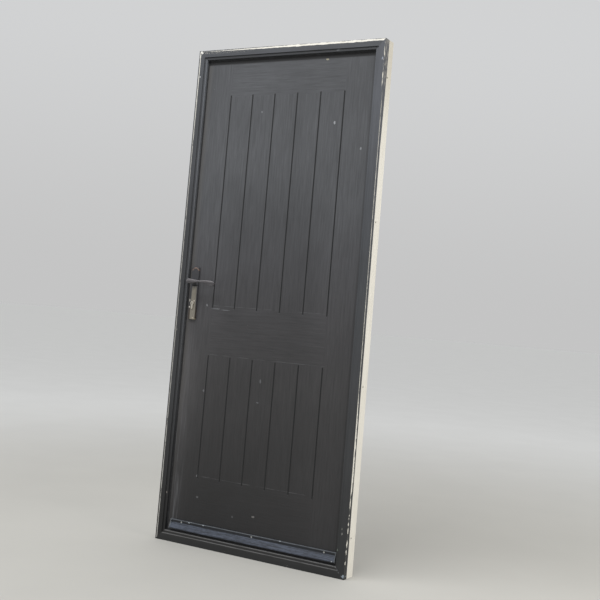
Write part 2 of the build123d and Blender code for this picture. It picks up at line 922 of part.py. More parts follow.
# Hooks hang down inside their cases and swing out a quarter turn
for name, height in zip(("bottom", "top"), hook_heights):
    with BuildPart() as hook:
        with BuildSketch(
            Plane(
                origin=(hook_x, leaf_middle + hook_thickness / 2, height),
                x_dir=(0, 0, 1),
                z_dir=(0, -1, 0),
            )
        ):
            add(hook_outline(0))
            Circle(hook_pin_radius + turning_clearance, mode=Mode.SUBTRACT)
        extrude(amount=hook_thickness)
    save(hook.part, f"{name}_hook")

    with BuildPart() as hook_case:
        half_case = case_thickness / 2
        half_hook = hook_thickness / 2 + sliding_clearance
        block(
            (case_front, hook_case_back),
            (leaf_middle - half_case, leaf_middle + half_case),
            (height - hook_sweep - hook_case_wall, height + hook_beak),
        )
        block(
            (case_front - 1, hook_x + hook_half_height + hook_swing_clearance),
            (leaf_middle - half_hook, leaf_middle + half_hook),
            (height - hook_sweep - sliding_clearance, height + hook_half_height + hook_swing_clearance),
            mode=Mode.SUBTRACT,
        )
        rod((hook_x, leaf_middle - half_case, height), (0, 1, 0), hook_pin_radius, case_thickness)
    save(hook_case.part, f"{name}_hook_case")

# Lock cylinder: body, the two plugs with their keyways and the cam between them
with BuildPart() as cylinder_body:
    with BuildSketch(upright_at(lock_x, leaf_middle + cylinder_length / 2, cylinder_height)):
        add(cylinder_outline(0))
        Circle(plug_radius + turning_clearance, mode=Mode.SUBTRACT)
    extrude(amount=cylinder_length)
    notch = cam_width / 2 + cam_clearance / 2
    block(
        (lock_x - 2 * cylinder_radius, lock_x + 2 * cylinder_radius),
        (leaf_middle - notch, leaf_middle + notch),
        (cylinder_height - cam_reach - cam_clearance, cylinder_height + 2 * cylinder_radius),
        mode=Mode.SUBTRACT,
    )
    rod(
        (lock_x - 2 * cylinder_radius, leaf_middle, cylinder_screw_z),
        (1, 0, 0),
        cylinder_screw_radius + screw_clearance,
        4 * cylinder_radius,
        Mode.SUBTRACT,
    )
save(cylinder_body.part, "cylinder_body")

with BuildPart() as cylinder_screw:
    screw(
        (leaf_left, leaf_middle, cylinder_screw_z),
        (1, 0, 0),
        backset,
        cylinder_screw_radius - screw_shank_radius,
    )
save(cylinder_screw.part, "cylinder_screw")

for label, outward in (("outer_plug", -1), ("inner_plug", 1)):
    with BuildPart() as plug:
        rod(
            (lock_x, leaf_middle + outward * cam_width / 2, cylinder_height),
            (0, outward, 0),
            plug_radius,
            cylinder_length / 2 - cam_width / 2,
        )
        keyway_end = leaf_middle + outward * cylinder_length / 2
        block(
            (lock_x - keyway_width / 2, lock_x + keyway_width / 2),
            (keyway_end - outward * keyway_depth, keyway_end + outward),
            (cylinder_height - keyway_height / 2, cylinder_height + keyway_height / 2),
            mode=Mode.SUBTRACT,
        )
    save(plug.part, label)

with BuildPart() as cylinder_cam:
    rod((lock_x, leaf_middle - cam_width / 2, cylinder_height), (0, 1, 0), plug_radius, cam_width)
    block(
        (lock_x - cam_tooth_width / 2, lock_x + cam_tooth_width / 2),
        (leaf_middle - cam_width / 2, leaf_middle + cam_width / 2),
        (cylinder_height - cam_reach, cylinder_height),
    )
save(cylinder_cam.part, "cylinder_cam")

# Handle plates, the same inside and out
plate_middle = (plate_top + plate_bottom) / 2
for label, face, outward in (("outer_plate", leaf_front, -1), ("inner_plate", leaf_back, 1)):
    with BuildPart() as plate:
        with BuildSketch(upright_at(lock_x, face, plate_middle)):
            RectangleRounded(plate_width, plate_height, plate_corner)
        extrude(amount=-outward * plate_thickness)
        rim = plate.faces().sort_by(Axis.Y)[0 if outward < 0 else -1]
        fillet(rim.edges(), plate_edge)
        rod(
            (lock_x, face - outward, spindle_height),
            (0, outward, 0),
            neck_radius + turning_clearance,
            plate_thickness + 2,
            Mode.SUBTRACT,
        )
        with BuildSketch(upright_at(lock_x, leaf_middle + leaf_thickness, cylinder_height)):
            add(cylinder_outline(sliding_clearance))
        extrude(amount=2 * leaf_thickness, mode=Mode.SUBTRACT)
        for height in (plate_top - bolt_end_distance, plate_bottom + bolt_end_distance):
            if outward > 0:
                rod(
                    (lock_x, face - 1, height),
                    (0, 1, 0),
                    bolt_radius + bolt_clearance,
                    plate_thickness + 2,
                    Mode.SUBTRACT,
                )
                rod(
                    (lock_x, face + plate_thickness - bolt_head_height, height),
                    (0, 1, 0),
                    bolt_head_radius + bolt_clearance,
                    bolt_head_height + 1,
                    Mode.SUBTRACT,
                )
            else:
                rod(
                    (lock_x, face + 1, height),
                    (0, -1, 0),
                    bolt_radius + bolt_clearance,
                    bolt_thread_depth + bolt_clearance + 1,
                    Mode.SUBTRACT,
                )
    save(plate.part, label)

with BuildPart() as plate_bolts:
    for height in (plate_top - bolt_end_distance, plate_bottom + bolt_end_distance):
        start = leaf_back + plate_thickness
        rod((lock_x, start, height), (0, -1, 0), bolt_head_radius, bolt_head_height)
        bolt_length = plate_thickness + leaf_thickness + bolt_thread_depth
        rod((lock_x, start, height), (0, -1, 0), bolt_radius, bolt_length)
save(plate_bolts.part, "plate_bolts")


# Lever handle: a front outline and a plan outline meet, and a round neck joins it to its plate
lever_root = leaf_front - plate_thickness - lever_stand_off


def lever_blade():
    half_root = lever_root_height / 2
    half_neck = lever_neck_height / 2
    with BuildPart() as blade:
        with BuildSketch(upright_at(lock_x, lever_root, spindle_height)):
            with BuildLine():
                top_line = Spline(
                    (0, half_root),
                    (lever_length * 0.3, half_neck),
                    (lever_length * 0.85, half_neck),
                    (lever_length, -half_neck),
                    tangents=((1, 0), (0, -1)),
                )
                tip_line = Spline(
                    top_line @ 1,
                    (lever_length * 0.84, -lever_tip_drop),
                    (lever_length * 0.66, -half_neck - lever_edge),
                    tangents=((0, -1), (-1, 0.3)),
                )
                under_line = Spline(
                    tip_line @ 1,
                    (lever_length * 0.3, -half_neck),
                    (0, -half_root),
                    tangents=(tip_line % 1, (-1, 0)),
                )
                ThreePointArc(under_line @ 1, (-half_root, 0), top_line @ 0)
            make_face()
        extrude(amount=lever_thickness + lever_return, both=True)
        with BuildSketch(Plane(origin=(lock_x, lever_root, spindle_height - lever_length))):
            with BuildLine():
                inner_line = Spline(
                    (-half_root - 1, 0),
                    (lever_length * 0.4, 0),
                    (lever_length * 0.8, lever_return * 0.4),
                    (lever_length + 1, lever_return),
                    tangents=((1, 0), (1, 0.4)),
                )
                outer_line = Spline(
                    (lever_length + 1, lever_return - lever_thickness * 0.75),
                    (lever_length * 0.8, lever_return * 0.4 - lever_thickness * 0.9),
                    (lever_length * 0.4, -lever_thickness),
                    (-half_root - 1, -lever_thickness),
                    tangents=((-1, -0.4), (-1, 0)),
                )
                Line(inner_line @ 1, outer_line @ 0)
                Line(outer_line @ 1, inner_line @ 0)
            make_face()
        extrude(amount=2 * lever_length, mode=Mode.INTERSECT)
        fillet(blade.edges().filter_by(Axis.Y, reverse=True), lever_edge)
    return blade.part


def lever():
    with BuildPart() as handle:
        add(lever_blade())
        rod(
            (lock_x, lever_root - lever_thickness / 2, spindle_height),
            (0, 1, 0),
            neck_radius,
            lever_thickness / 2 + lever_stand_off + plate_thickness - sliding_clearance,
        )
        hole_side = spindle_side + 2 * spindle_clearance
        block(
            (lock_x - hole_side / 2, lock_x + hole_side / 2),
            (lever_root, leaf_front),
            (spindle_height - hole_side / 2, spindle_height + hole_side / 2),
            mode=Mode.SUBTRACT,
        )
        rod(
            (lock_x, lever_root + grub_inset, spindle_height),
            (0, 0, -1),
            grub_radius,
            neck_radius + 1,
            Mode.SUBTRACT,
        )
    return handle.part


outer_lever = lever()
save(outer_lever, "outer_lever")
save(mirror(outer_lever, about=Plane.XZ.offset(-leaf_middle)), "inner_lever")

spindle_half = leaf_middle - lever_root - spindle_clearance
with BuildPart() as spindle:
    block(
        (lock_x - spindle_side / 2, lock_x + spindle_side / 2),
        (leaf_middle - spindle_half, leaf_middle + spindle_half),
        (spindle_height - spindle_side / 2, spindle_height + spindle_side / 2),
    )
save(spindle.part, "spindle")

with BuildPart() as lever_grub_screws:
    for side in (-1, 1):
        grub_place = leaf_middle + side * (leaf_middle - lever_root - grub_inset)
        rod(
            (lock_x, grub_place, spindle_height - spindle_side / 2),
            (0, 0, -1),
            grub_radius - turning_clearance,
            neck_radius - spindle_side / 2 - spindle_clearance,
        )
save(lever_grub_screws.part, "lever_grub_screws")

# Hinges: the frame half holds both ends of the pin, the leaf half turns on its middle
for name, height in zip(("bottom", "middle", "top"), hinge_heights):
    low = height - hinge_height / 2
    high = height + hinge_height / 2
    middle_low = height - hinge_middle_height / 2
    middle_high = height + hinge_middle_height / 2
    screws_here = [place for place in hinge_frame_screws + hinge_leaf_screws if low < place[2] < high]

    with BuildPart() as hinge_frame_half:
        block(
            (hinge_frame_left, hinge_frame_right),
            (inside_face, inside_face + hinge_frame_plate),
            (low, high),
        )
        for start, end in ((low, middle_low - knuckle_gap), (middle_high + knuckle_gap, high)):
            rod((hinge_x, hinge_y, start), (0, 0, 1), knuckle_radius, end - start)
            block(
                (hinge_x, hinge_frame_left + hinge_web_reach),
                (inside_face + hinge_frame_plate / 2, hinge_y),
                (start, end),
            )
        rod((hinge_x, hinge_y, low - 1), (0, 0, 1), hinge_pin_radius, hinge_height + 2, Mode.SUBTRACT)
        for place in screws_here:
            screw(place, (0, -1, 0), screw_length, screw_clearance, Mode.SUBTRACT)
    save(hinge_frame_half.part, f"{name}_hinge_frame_part")

    with BuildPart() as hinge_leaf_half:
        block(
            (hinge_leaf_left, hinge_leaf_right),
            (leaf_back, leaf_back + hinge_leaf_plate),
            (low, high),
        )
        rod((hinge_x, hinge_y, middle_low), (0, 0, 1), knuckle_radius, hinge_middle_height)
        with BuildSketch(Plane.XY.offset(middle_low)):
            with BuildLine():
                Polyline(
                    (hinge_leaf_right - knuckle_radius, leaf_back),
                    (hinge_leaf_right, leaf_back),
                    (hinge_leaf_right, inside_face),
                    (hinge_x, hinge_y - knuckle_radius),
                    (hinge_x, hinge_y),
                    (hinge_x - knuckle_radius, hinge_y),
                    close=True,
                )
            make_face()
        extrude(amount=hinge_middle_height)
        rod(
            (hinge_x, hinge_y, low - 1),
            (0, 0, 1),
            hinge_pin_radius + turning_clearance,
            hinge_height + 2,
            Mode.SUBTRACT,
        )
        for place in screws_here:
            screw(place, (0, -1, 0), screw_length, screw_clearance, Mode.SUBTRACT)
    save(hinge_leaf_half.part, f"{name}_hinge_leaf_part")

    with BuildPart() as hinge_pin:
        rod((hinge_x, hinge_y, low), (0, 0, 1), hinge_pin_radius, hinge_height)
        rod((hinge_x, hinge_y, high), (0, 0, 1), hinge_pin_head_radius, hinge_pin_head_height)
    save(hinge_pin.part, f"{name}_hinge_pin")

hinge_screw_rows = {"hinge_frame_screws": hinge_frame_screws, "hinge_leaf_screws": hinge_leaf_screws}
for label, places in hinge_screw_rows.items():
    with BuildPart() as hinge_screws:
        for place in places:
            screw(place, (0, -1, 0), screw_length)
    save(hinge_screws.part, label)
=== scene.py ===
import math

import bmesh
import bpy
from mathutils import Matrix, Vector


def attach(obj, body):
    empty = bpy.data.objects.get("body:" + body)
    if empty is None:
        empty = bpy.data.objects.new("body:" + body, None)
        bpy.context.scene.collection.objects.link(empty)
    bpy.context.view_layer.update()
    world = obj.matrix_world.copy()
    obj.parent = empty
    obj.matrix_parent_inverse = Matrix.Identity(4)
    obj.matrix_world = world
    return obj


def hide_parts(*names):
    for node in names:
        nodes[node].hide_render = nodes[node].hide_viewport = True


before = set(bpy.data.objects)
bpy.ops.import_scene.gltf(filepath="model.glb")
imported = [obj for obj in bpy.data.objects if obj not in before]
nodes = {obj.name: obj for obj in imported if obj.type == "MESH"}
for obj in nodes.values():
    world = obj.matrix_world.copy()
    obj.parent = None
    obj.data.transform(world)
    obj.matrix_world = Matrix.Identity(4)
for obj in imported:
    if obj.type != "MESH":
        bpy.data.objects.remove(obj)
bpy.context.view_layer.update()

mm = 0.001  # the scene is in metres, sizes below are in millimetres

# settings that many nodes share
smooth = {"interpolation_type": "SMOOTHSTEP"}
colours = {"data_type": "RGBA", "out": 2}


# Colours are written as sRGB hex and turned to linear here
def linear(hexText):
    parts = [int(hexText[i:i + 2], 16) / 255 for i in (1, 3, 5)]
    return tuple(p / 12.92 if p <= 0.04045 else ((p + 0.055) / 1.055) ** 2.4 for p in parts) + (1.0,)


# Adds one node with its settings, links any input that is given as a socket, and gives back one output
def put(tree, kind, inputs, out=0, **settings):
    made = tree.nodes.new("ShaderNode" + kind)
    for name, value in settings.items():
        setattr(made, name, value)
    for key, value in inputs.items():
        if isinstance(value, bpy.types.NodeSocket):
            tree.links.new(value, made.inputs[key])
        else:
            made.inputs[key].default_value = value
    return made.outputs[out] if made.outputs else None


# A range from one of the dictionaries as numbered inputs: from, to and, unless they are 0 and 1, the results
def limits(values):
    return dict(enumerate(values, 1))


# A material with its tree, its shader and the place on the part in millimetres
def startMaterial(name, **constants):
    material = bpy.data.materials.new(name)
    material.use_nodes = True
    tree = material.node_tree
    tree.nodes.clear()
    surface = put(tree, "BsdfPrincipled", {key.replace("_", " "): value for key, value in constants.items()})
    put(tree, "OutputMaterial", {"Surface": surface})
    where = put(tree, "TexCoord", {}, out="Object")
    place = put(tree, "VectorMath", {0: where, 1: [1 / mm] * 3}, operation="MULTIPLY")
    return material, tree, surface.node, place


# Cloudy pattern whose patches have the given size in millimetres along X, Y and Z
def patches(tree, place, size, detail=4.0, roughness=0.55):
    scaled = put(tree, "VectorMath", {0: place, 1: tuple(1 / s for s in size)}, operation="MULTIPLY")
    return put(tree, "TexNoise", {"Vector": scaled, "Scale": 1.0, "Detail": detail, "Roughness": roughness})


# 1 within half a width of a level and 0 away from it, with soft edges
def band(tree, value, level, width, edge=0.8):
    away = put(tree, "Math", {0: value, 1: level}, operation="SUBTRACT")
    near = put(tree, "Math", {0: away}, operation="ABSOLUTE")
    inside = put(tree, "Math", {0: width, 1: 0.5}, operation="MULTIPLY")
    room = put(tree, "Math", {0: inside, 1: near}, operation="SUBTRACT")
    return put(tree, "MapRange", {0: room, 1: -edge / 2, 2: edge / 2}, **smooth)


# A colour that changes up the door: each stop is a height in millimetres and the colour there
def upTheDoor(tree, z, stops):
    colour = linear(stops[0][1])
    for lower, upper in zip(stops, stops[1:]):
        share = put(tree, "MapRange", {0: z, 1: lower[0], 2: upper[0]})
        colour = put(tree, "Mix", {0: share, 6: colour, 7: linear(upper[1])}, **colours)
    return colour


# A spot's ragged edge: the size of its teeth in millimetres, how far they push it in and out, and its fade
spotEdge = {"tooth": 4.0, "push": 4.0, "offset": -1.55, "fade": (1.5, 1.0)}


# Small ragged spots laid over a colour: each has its place and half sizes across and up, and its own colour
def spots(tree, place, x, z, colour, found):
    rag = patches(tree, place, [spotEdge["tooth"]] * 3, detail=5.0, roughness=0.7)
    rag = put(tree, "Math", {0: rag, 1: spotEdge["push"], 2: spotEdge["offset"]}, operation="MULTIPLY_ADD")
    for across, height, wide, tall, hexText in found:
        u = put(tree, "MapRange", {0: x, 1: across, 2: across + wide}, clamp=False)
        v = put(tree, "MapRange", {0: z, 1: height, 2: height + tall}, clamp=False)
        uu = put(tree, "Math", {0: u, 1: u}, operation="MULTIPLY")
        reach = put(tree, "Math", {0: v, 1: v, 2: uu}, operation="MULTIPLY_ADD")
        ragged = put(tree, "Math", {0: reach, 1: rag}, operation="ADD")
        share = put(tree, "MapRange", {0: ragged, **limits(spotEdge["fade"])}, **smooth)
        colour = put(tree, "Mix", {0: share, 6: colour, 7: linear(hexText)}, **colours)
    return colour


# Gives a shader its colour, its relief with the depth in millimetres, and its roughness where that varies
def surface(tree, shader, colour, height, depth, rough=None):
    raised = put(tree, "Bump", {"Height": height, "Distance": depth * mm})
    for socket, value in (("Base Color", colour), ("Normal", raised), ("Roughness", rough)):
        if value is not None:
            tree.links.new(value, shader.inputs[socket])


def finish(material, *names):
    for name in names:
        for holder in nodes[name].material_slots:
            holder.material = material


doorSet = {
    "width": 900.0,
    "height": 2090.0,
    "outsideFace": -35.0,
    "leafFace": -17.0,
    "innerLeafFace": 27.0,
}
frameSides = ("head", "lock_jamb", "hinge_jamb", "threshold")

# Frame

# Levels are in millimetres in from a side's outer edge, heights are from the floor, and the rest are shares
frameFinish = {
    # each side's foil tones are lighter towards the top: painted light from above, over the foil's own dark
    # grey
    "foil": {
        "lock_jamb": (
            (90, "#131314"), (420, "#28292b"), (700, "#323335"), (1250, "#37383b"), (2050, "#434549"),
        ),
        "hinge_jamb": (
            (90, "#252627"), (420, "#323335"), (1250, "#404246"), (1700, "#4a4c51"), (2050, "#4b4d53"),
        ),
        "head": ((2040, "#3b3d41"), (2070, "#3f4145")),
        "threshold": ((2, "#1e1f20"), (40, "#272727")),
    },
    "grainWidth": 2.6,      # the real grain lines are about 0.5 apart, drawn coarser so that they show
    "grainLength": 120.0,
    "grainLight": (0.3, 0.75, 0.8, 1.25),
    "grainDepth": 0.35,
    "cloudSize": (140, 140, 260),
    "cloudLight": (0.3, 0.7, 0.88, 1.12),
    "roughness": (0.0, 1.0, 0.42, 0.68),
    # the step of the section: its lip, valley and ridges have a level and a width
    "lip": (41.0, 3.2),
    "valley": (30.3, 2.2),
    "valleyShade": 0.75,
    # how much lighter the lip is painted as a highlight, changing between two heights
    "lipHighlight": {"lock_jamb": (300.0, 1000.0, 0.2, 1.2), "hinge_jamb": (300.0, 1000.0, 0.1, 0.1)},
    # painted shade on the head below its step
    "paintedShadeBelowHeadStep": (28.5, 31.0, 1.0, 0.5),
    "upperRidge": (29.9, 2.6),
    # painted highlight along the threshold's upward-facing ridges, broken in streaks
    "ridgeHighlight": "#6a6969",
    "ridgeStreaks": (60, 6, 2),
    "ridgeHighlightShare": (0.25, 0.6, 0.35, 0.95),
    # the plastic under the foil, bare at the back of the outer sides
    "plastic": "#e6e2d8",
    "plasticDirt": "#c3bcad",
    "plasticGrain": 0.2,    # it is flat where the foil has its grain
    "dirtSize": (30, 7, 160),
    "dirt": (0.45, 0.8, 0.0, 0.5),
    "dirtNearHead": (1600.0, 2040.0, 0.0, 0.75),
    "outerSide": (1.0, 1.4, 0.0, 500.0),    # only what is this near the edge is the outer side
    "wrap": 20.0,           # how far the foil reaches round the outer sides
    "wrapSoft": 0.4,
    "wrapMore": (1650.0, 2020.0, 0.0, 10.0),    # and how much further near the head
    "wrapWander": 3.0,
    "wanderSize": (60, 60, 60),
    "flecks": {
        "lock_jamb": (
            (-444, 2066, 3, 10, "#d9d7cf"), (-443, 2040, 2, 7, "#cfcdc5"), (-436, 1975, 3, 4, "#a3a4a5"),
            (-415, 197, 3, 5, "#77706c"), (-437, 880, 2, 4, "#8b8984"),
        ),
        "hinge_jamb": (
            (425.8, 186, 2.2, 4, "#77786f"), (427.5, 168, 2.2, 5, "#8a8b86"),
            (411.6, 105, 2.5, 4, "#5d665c"), (445, 12, 5, 7, "#8f9aa3"), (441, 2010, 3, 6, "#8d93a0"),
        ),
        "head": (
            (379, 2030, 7, 2.5, "#77797b"), (236, 2055, 8, 1.6, "#6f7174"), (-440, 2081, 9, 7, "#e4e2da"),
        ),
        "threshold": (
            (441, 16, 5, 9, "#87929b"), (-446, 20, 4, 7, "#8b9792"), (-446, 8, 3, 4, "#a9aca8"),
            (411, 39, 4, 3, "#6f7072"), (418, 32, 4, 3, "#66686a"), (426, 24, 4, 3, "#5b5d5f"),
        ),
    },
}

foilChips = {"width": 5.0, "length": 30.0}  # they break up the worn lines

headWear = {
    "level": 5.0,
    "width": (-400.0, 40.0, 0.6, 8.0),      # from X to X, and how wide the worn band is there
    "loose": (2.4, -0.25),                  # how the chips widen and narrow it
    "soft": 1.2,
    "crumb": (3.2, 3.2, 3.2),
    "crumbs": (0.6, 0.66),
    "mottledTowardsLock": (-120.0, -260.0),
    "mottledReach": (20.0, 9.0),
}


# The head's foil is mottled at the lock side and has one bright band from the middle on
def wornHead(tree, place, x, edge, chips):
    w = headWear
    growth = put(tree, "MapRange", {0: x, **limits(w["width"])})
    loose = put(tree, "Math", {0: chips, **limits(w["loose"])}, operation="MULTIPLY_ADD")
    width = put(tree, "Math", {0: growth, 1: loose}, operation="MULTIPLY")
    line = band(tree, edge, w["level"], width, edge=w["soft"])
    crumb = patches(tree, place, w["crumb"], detail=2.0)
    mottle = put(tree, "MapRange", {0: crumb, **limits(w["crumbs"])}, **smooth)
    for value, reach in ((x, w["mottledTowardsLock"]), (edge, w["mottledReach"])):
        near = put(tree, "MapRange", {0: value, **limits(reach)}, **smooth)
        mottle = put(tree, "Math", {0: mottle, 1: near}, operation="MULTIPLY")
    return put(tree, "Math", {0: line, 1: mottle}, operation="MAXIMUM")


hingeJambWear = {
    "start": 1.8,                   # how far round the corner the line begins
    "soft": (-0.5, 0.5),
    "thin": 3.2,
    "wider": 9.0,                   # added over the lower part
    "widerBelow": (720.0, 560.0),
    "bottom": (300.0, 330.0),
    "top": (1900.0, 1800.0),
    "loose": (0.3, 0.6, 0.25, 1.1),
    "dashes": (2.2, 4.2),           # level and width of the dashes on the face
    "dashesBroken": (0.5, 0.56),
    "dashesAbove": (1880.0, 1930.0),
    # chips down the corner near the floor: how deep behind the face and how high, with half sizes
    "cornerChips": (
        (4.5, 286, 3.5, 24), (4.5, 240, 3.0, 4), (3.0, 228, 2.5, 3.5), (3.5, 207, 3.5, 7),
        (3.5, 182, 3.5, 12), (4.0, 134, 4.0, 14), (2.5, 103, 3.0, 10), (1.5, 62, 2.5, 8),
    ),
}


# The hinge jamb has a thin line just round its corner, wide over the lower part, and dashes near its top
def wornHingeJamb(tree, z, edge, sideDepth, chips):
    w = hingeJambWear
    lower = put(tree, "MapRange", {0: z, **limits(w["widerBelow"])}, **smooth)
    bottom = put(tree, "MapRange", {0: z, **limits(w["bottom"])}, **smooth)
    top = put(tree, "MapRange", {0: z, **limits(w["top"])}, **smooth)
    wide = put(tree, "Math", {0: lower, 1: bottom}, operation="MULTIPLY")
    width = put(tree, "Math", {0: wide, 1: w["wider"], 2: w["thin"]}, operation="MULTIPLY_ADD")
    for share in (put(tree, "MapRange", {0: chips, **limits(w["loose"])}), top, bottom):
        width = put(tree, "Math", {0: width, 1: share}, operation="MULTIPLY")
    past = put(tree, "Math", {0: sideDepth, 1: w["start"]}, operation="SUBTRACT")
    room = put(tree, "Math", {0: width, 1: past}, operation="SUBTRACT")
    onSide = put(tree, "MapRange", {0: room, **limits(w["soft"])}, **smooth)
    begun = put(tree, "MapRange", {0: past, **limits(w["soft"])}, **smooth)
    onSide = put(tree, "Math", {0: onSide, 1: begun}, operation="MULTIPLY")
    onFace = band(tree, edge, *w["dashes"])
    for value, reach in ((chips, w["dashesBroken"]), (z, w["dashesAbove"])):
        share = put(tree, "MapRange", {0: value, **limits(reach)}, **smooth)
        onFace = put(tree, "Math", {0: onFace, 1: share}, operation="MULTIPLY")
    return put(tree, "Math", {0: onSide, 1: onFace}, operation="MAXIMUM")


edgeLineWear = {
    "level": 7.2,
    "width": (0.35, 0.7, 2.6, 5.4),
    "face": (2.0, 0.5),             # no deeper than this behind the outside face
    "broken": {"lock_jamb": (0.32, 0.46), "threshold": (0.66, 0.8)},
    # the line's tones up the lock jamb, greyed by hands in the middle
    "rubbedAndHighlit": ((200, "#aeaca7"), (1000, "#9c9a95"), (1600, "#a5a39e"), (1900, "#cfccc3")),
}


# The lock jamb has a thin worn line beside its corner, the threshold a few chips
def wornEdgeLine(tree, side, edge, depth, chips):
    w = edgeLineWear
    width = put(tree, "MapRange", {0: chips, **limits(w["width"])})
    line = band(tree, edge, w["level"], width)
    for value, reach in ((depth, w["face"]), (chips, w["broken"][side])):
        share = put(tree, "MapRange", {0: value, **limits(reach)}, **smooth)
        line = put(tree, "Math", {0: line, 1: share}, operation="MULTIPLY")
    return line


# Woodgrain foil laminated on a PVC profile: dull dark grey with fine grain, off-white plastic where it ends
# or has chipped
def foiledFrame(side):
    upright = side.endswith("jamb")
    along = 2 if upright else 0
    f = frameFinish
    material, tree, shader, place = startMaterial("woodgrain foil on PVC " + side.replace("_", " "), IOR=1.5)
    x, y, z = put(tree, "SeparateXYZ", {0: place}).node.outputs
    if upright:
        fromMiddle = put(tree, "Math", {0: x}, operation="ABSOLUTE")
        edge = put(tree, "Math", {0: doorSet["width"] / 2, 1: fromMiddle}, operation="SUBTRACT")
    elif side == "head":
        edge = put(tree, "Math", {0: doorSet["height"], 1: z}, operation="SUBTRACT")
    else:
        edge = z
    depth = put(tree, "Math", {0: y, 1: doorSet["outsideFace"]}, operation="SUBTRACT")
    # the same depth for the outer side alone, every other face counting as far behind
    elsewhere = put(tree, "MapRange", {0: edge, **limits(f["outerSide"])})
    sideDepth = put(tree, "Math", {0: depth, 1: elsewhere}, operation="ADD")

    lengths = [f["grainWidth"]] * 3
    lengths[along] = f["grainLength"]
    grain = patches(tree, place, lengths, detail=5.0, roughness=0.65)
    clouds = patches(tree, place, f["cloudSize"], detail=3.0)
    light = put(tree, "MapRange", {0: grain, **limits(f["grainLight"])})
    cloudy = put(tree, "MapRange", {0: clouds, **limits(f["cloudLight"])})
    light = put(tree, "Math", {0: light, 1: cloudy}, operation="MULTIPLY")

    # painted highlight on the jambs' lip, and painted shade on the head below its step
    lip = band(tree, edge, *f["lip"])
    if side == "head":
        stepShade = put(tree, "MapRange", {0: edge, **limits(f["paintedShadeBelowHeadStep"])})
        light = put(tree, "Math", {0: light, 1: stepShade}, operation="MULTIPLY")
    elif upright:
        # painted highlight along the lip
        rubbedAndHighlit = put(tree, "MapRange", {0: z, **limits(f["lipHighlight"][side])})
        rubbedAndHighlit = put(tree, "Math", {0: lip, 1: rubbedAndHighlit, 2: 1.0}, operation="MULTIPLY_ADD")
        light = put(tree, "Math", {0: light, 1: rubbedAndHighlit}, operation="MULTIPLY")
    dark = put(tree, "MapRange", {0: band(tree, edge, *f["valley"]), 3: 1.0, 4: f["valleyShade"]})
    light = put(tree, "Math", {0: light, 1: dark}, operation="MULTIPLY")
    # painted light: the foil's tones up the door make it lighter towards the top
    foil = upTheDoor(tree, z, f["foil"][side])
    foil = put(tree, "VectorMath", {0: foil, "Scale": light}, operation="SCALE")
    # painted highlight where the threshold's ridges face upward, broken in streaks
    if side == "threshold":
        ridges = put(tree, "Math", {0: lip, 1: band(tree, edge, *f["upperRidge"])}, operation="MAXIMUM")
        streaks = patches(tree, place, f["ridgeStreaks"])
        streaks = put(tree, "MapRange", {0: streaks, **limits(f["ridgeHighlightShare"])})
        worn = put(tree, "Math", {0: ridges, 1: streaks}, operation="MULTIPLY")
        foil = put(tree, "Mix", {0: worn, 6: foil, 7: linear(f["ridgeHighlight"])}, **colours)
    foil = spots(tree, place, x, z, foil, f["flecks"][side])

    dirt = patches(tree, place, f["dirtSize"], detail=6.0)
    dirt = put(tree, "MapRange", {0: dirt, **limits(f["dirt"])}, **smooth)
    if upright:
        topDirt = put(tree, "MapRange", {0: z, **limits(f["dirtNearHead"])}, **smooth)
        dirt = put(tree, "Math", {0: dirt, 1: topDirt}, operation="MAXIMUM")
    plastic = put(tree, "Mix", {0: dirt, 6: linear(f["plastic"]), 7: linear(f["plasticDirt"])}, **colours)

    lengths = [foilChips["width"]] * 3
    lengths[along] = foilChips["length"]
    chips = patches(tree, place, lengths, detail=3.0, roughness=0.7)
    if side == "head":
        worn = wornHead(tree, place, x, edge, chips)
    elif side == "hinge_jamb":
        worn = wornHingeJamb(tree, z, edge, sideDepth, chips)
    else:
        worn = wornEdgeLine(tree, side, edge, depth, chips)
    chipTone = upTheDoor(tree, z, edgeLineWear["rubbedAndHighlit"]) if side == "lock_jamb" else plastic
    colour = put(tree, "Mix", {0: worn, 6: foil, 7: chipTone}, **colours)
    if side == "hinge_jamb":
        cornerChips = [(*chip, f["plastic"]) for chip in hingeJambWear["cornerChips"]]
        colour = spots(tree, place, sideDepth, z, colour, cornerChips)

    more = put(tree, "MapRange", {0: z, **limits(f["wrapMore"])})
    wander = patches(tree, place, f["wanderSize"], detail=3.0)
    wrapEnd = put(tree, "Math", {0: wander, 1: f["wrapWander"], 2: more}, operation="MULTIPLY_ADD")
    beyond = put(tree, "Math", {0: depth, 1: wrapEnd}, operation="SUBTRACT")
    wrapLimits = (f["wrap"] - f["wrapSoft"], f["wrap"] + f["wrapSoft"])
    bare = put(tree, "MapRange", {0: beyond, **limits(wrapLimits)}, **smooth)
    colour = put(tree, "Mix", {0: bare, 6: colour, 7: plastic}, **colours)
    rough = put(tree, "MapRange", {0: grain, **limits(f["roughness"])})
    whole = put(tree, "Math", {0: worn, 1: bare}, operation="MAXIMUM")
    height = put(tree, "Mix", {0: whole, 2: grain, 3: f["plasticGrain"]}, data_type="FLOAT")
    surface(tree, shader, colour, height, f["grainDepth"], rough)
    return material


for side in frameSides:
    finish(foiledFrame(side), f"frame_{side}")

gasketFinish = {
    "rubber": "#18191b",
    "dusty": "#2c2d2f",
    "dustSize": (12, 12, 12),
    "dust": (0.4, 0.8),
    "grain": (2, 2, 2),
    "grainDepth": 0.08,
}


# Extruded EPDM rubber: matt black, greyed by dust
def gasketRubber():
    g = gasketFinish
    material, tree, shader, place = startMaterial("extruded EPDM rubber", IOR=1.5, Roughness=0.75)
    dust = put(tree, "MapRange", {0: patches(tree, place, g["dustSize"]), **limits(g["dust"])}, **smooth)
    tone = {0: dust, 6: linear(g["rubber"]), 7: linear(g["dusty"])}
    colour = put(tree, "Mix", tone, **colours)
    surface(tree, shader, colour, patches(tree, place, g["grain"]), g["grainDepth"])
    return material


finish(gasketRubber(), *[f"gasket_{side}" for side in frameSides])
print("frame and gasket finished")

# Leaf

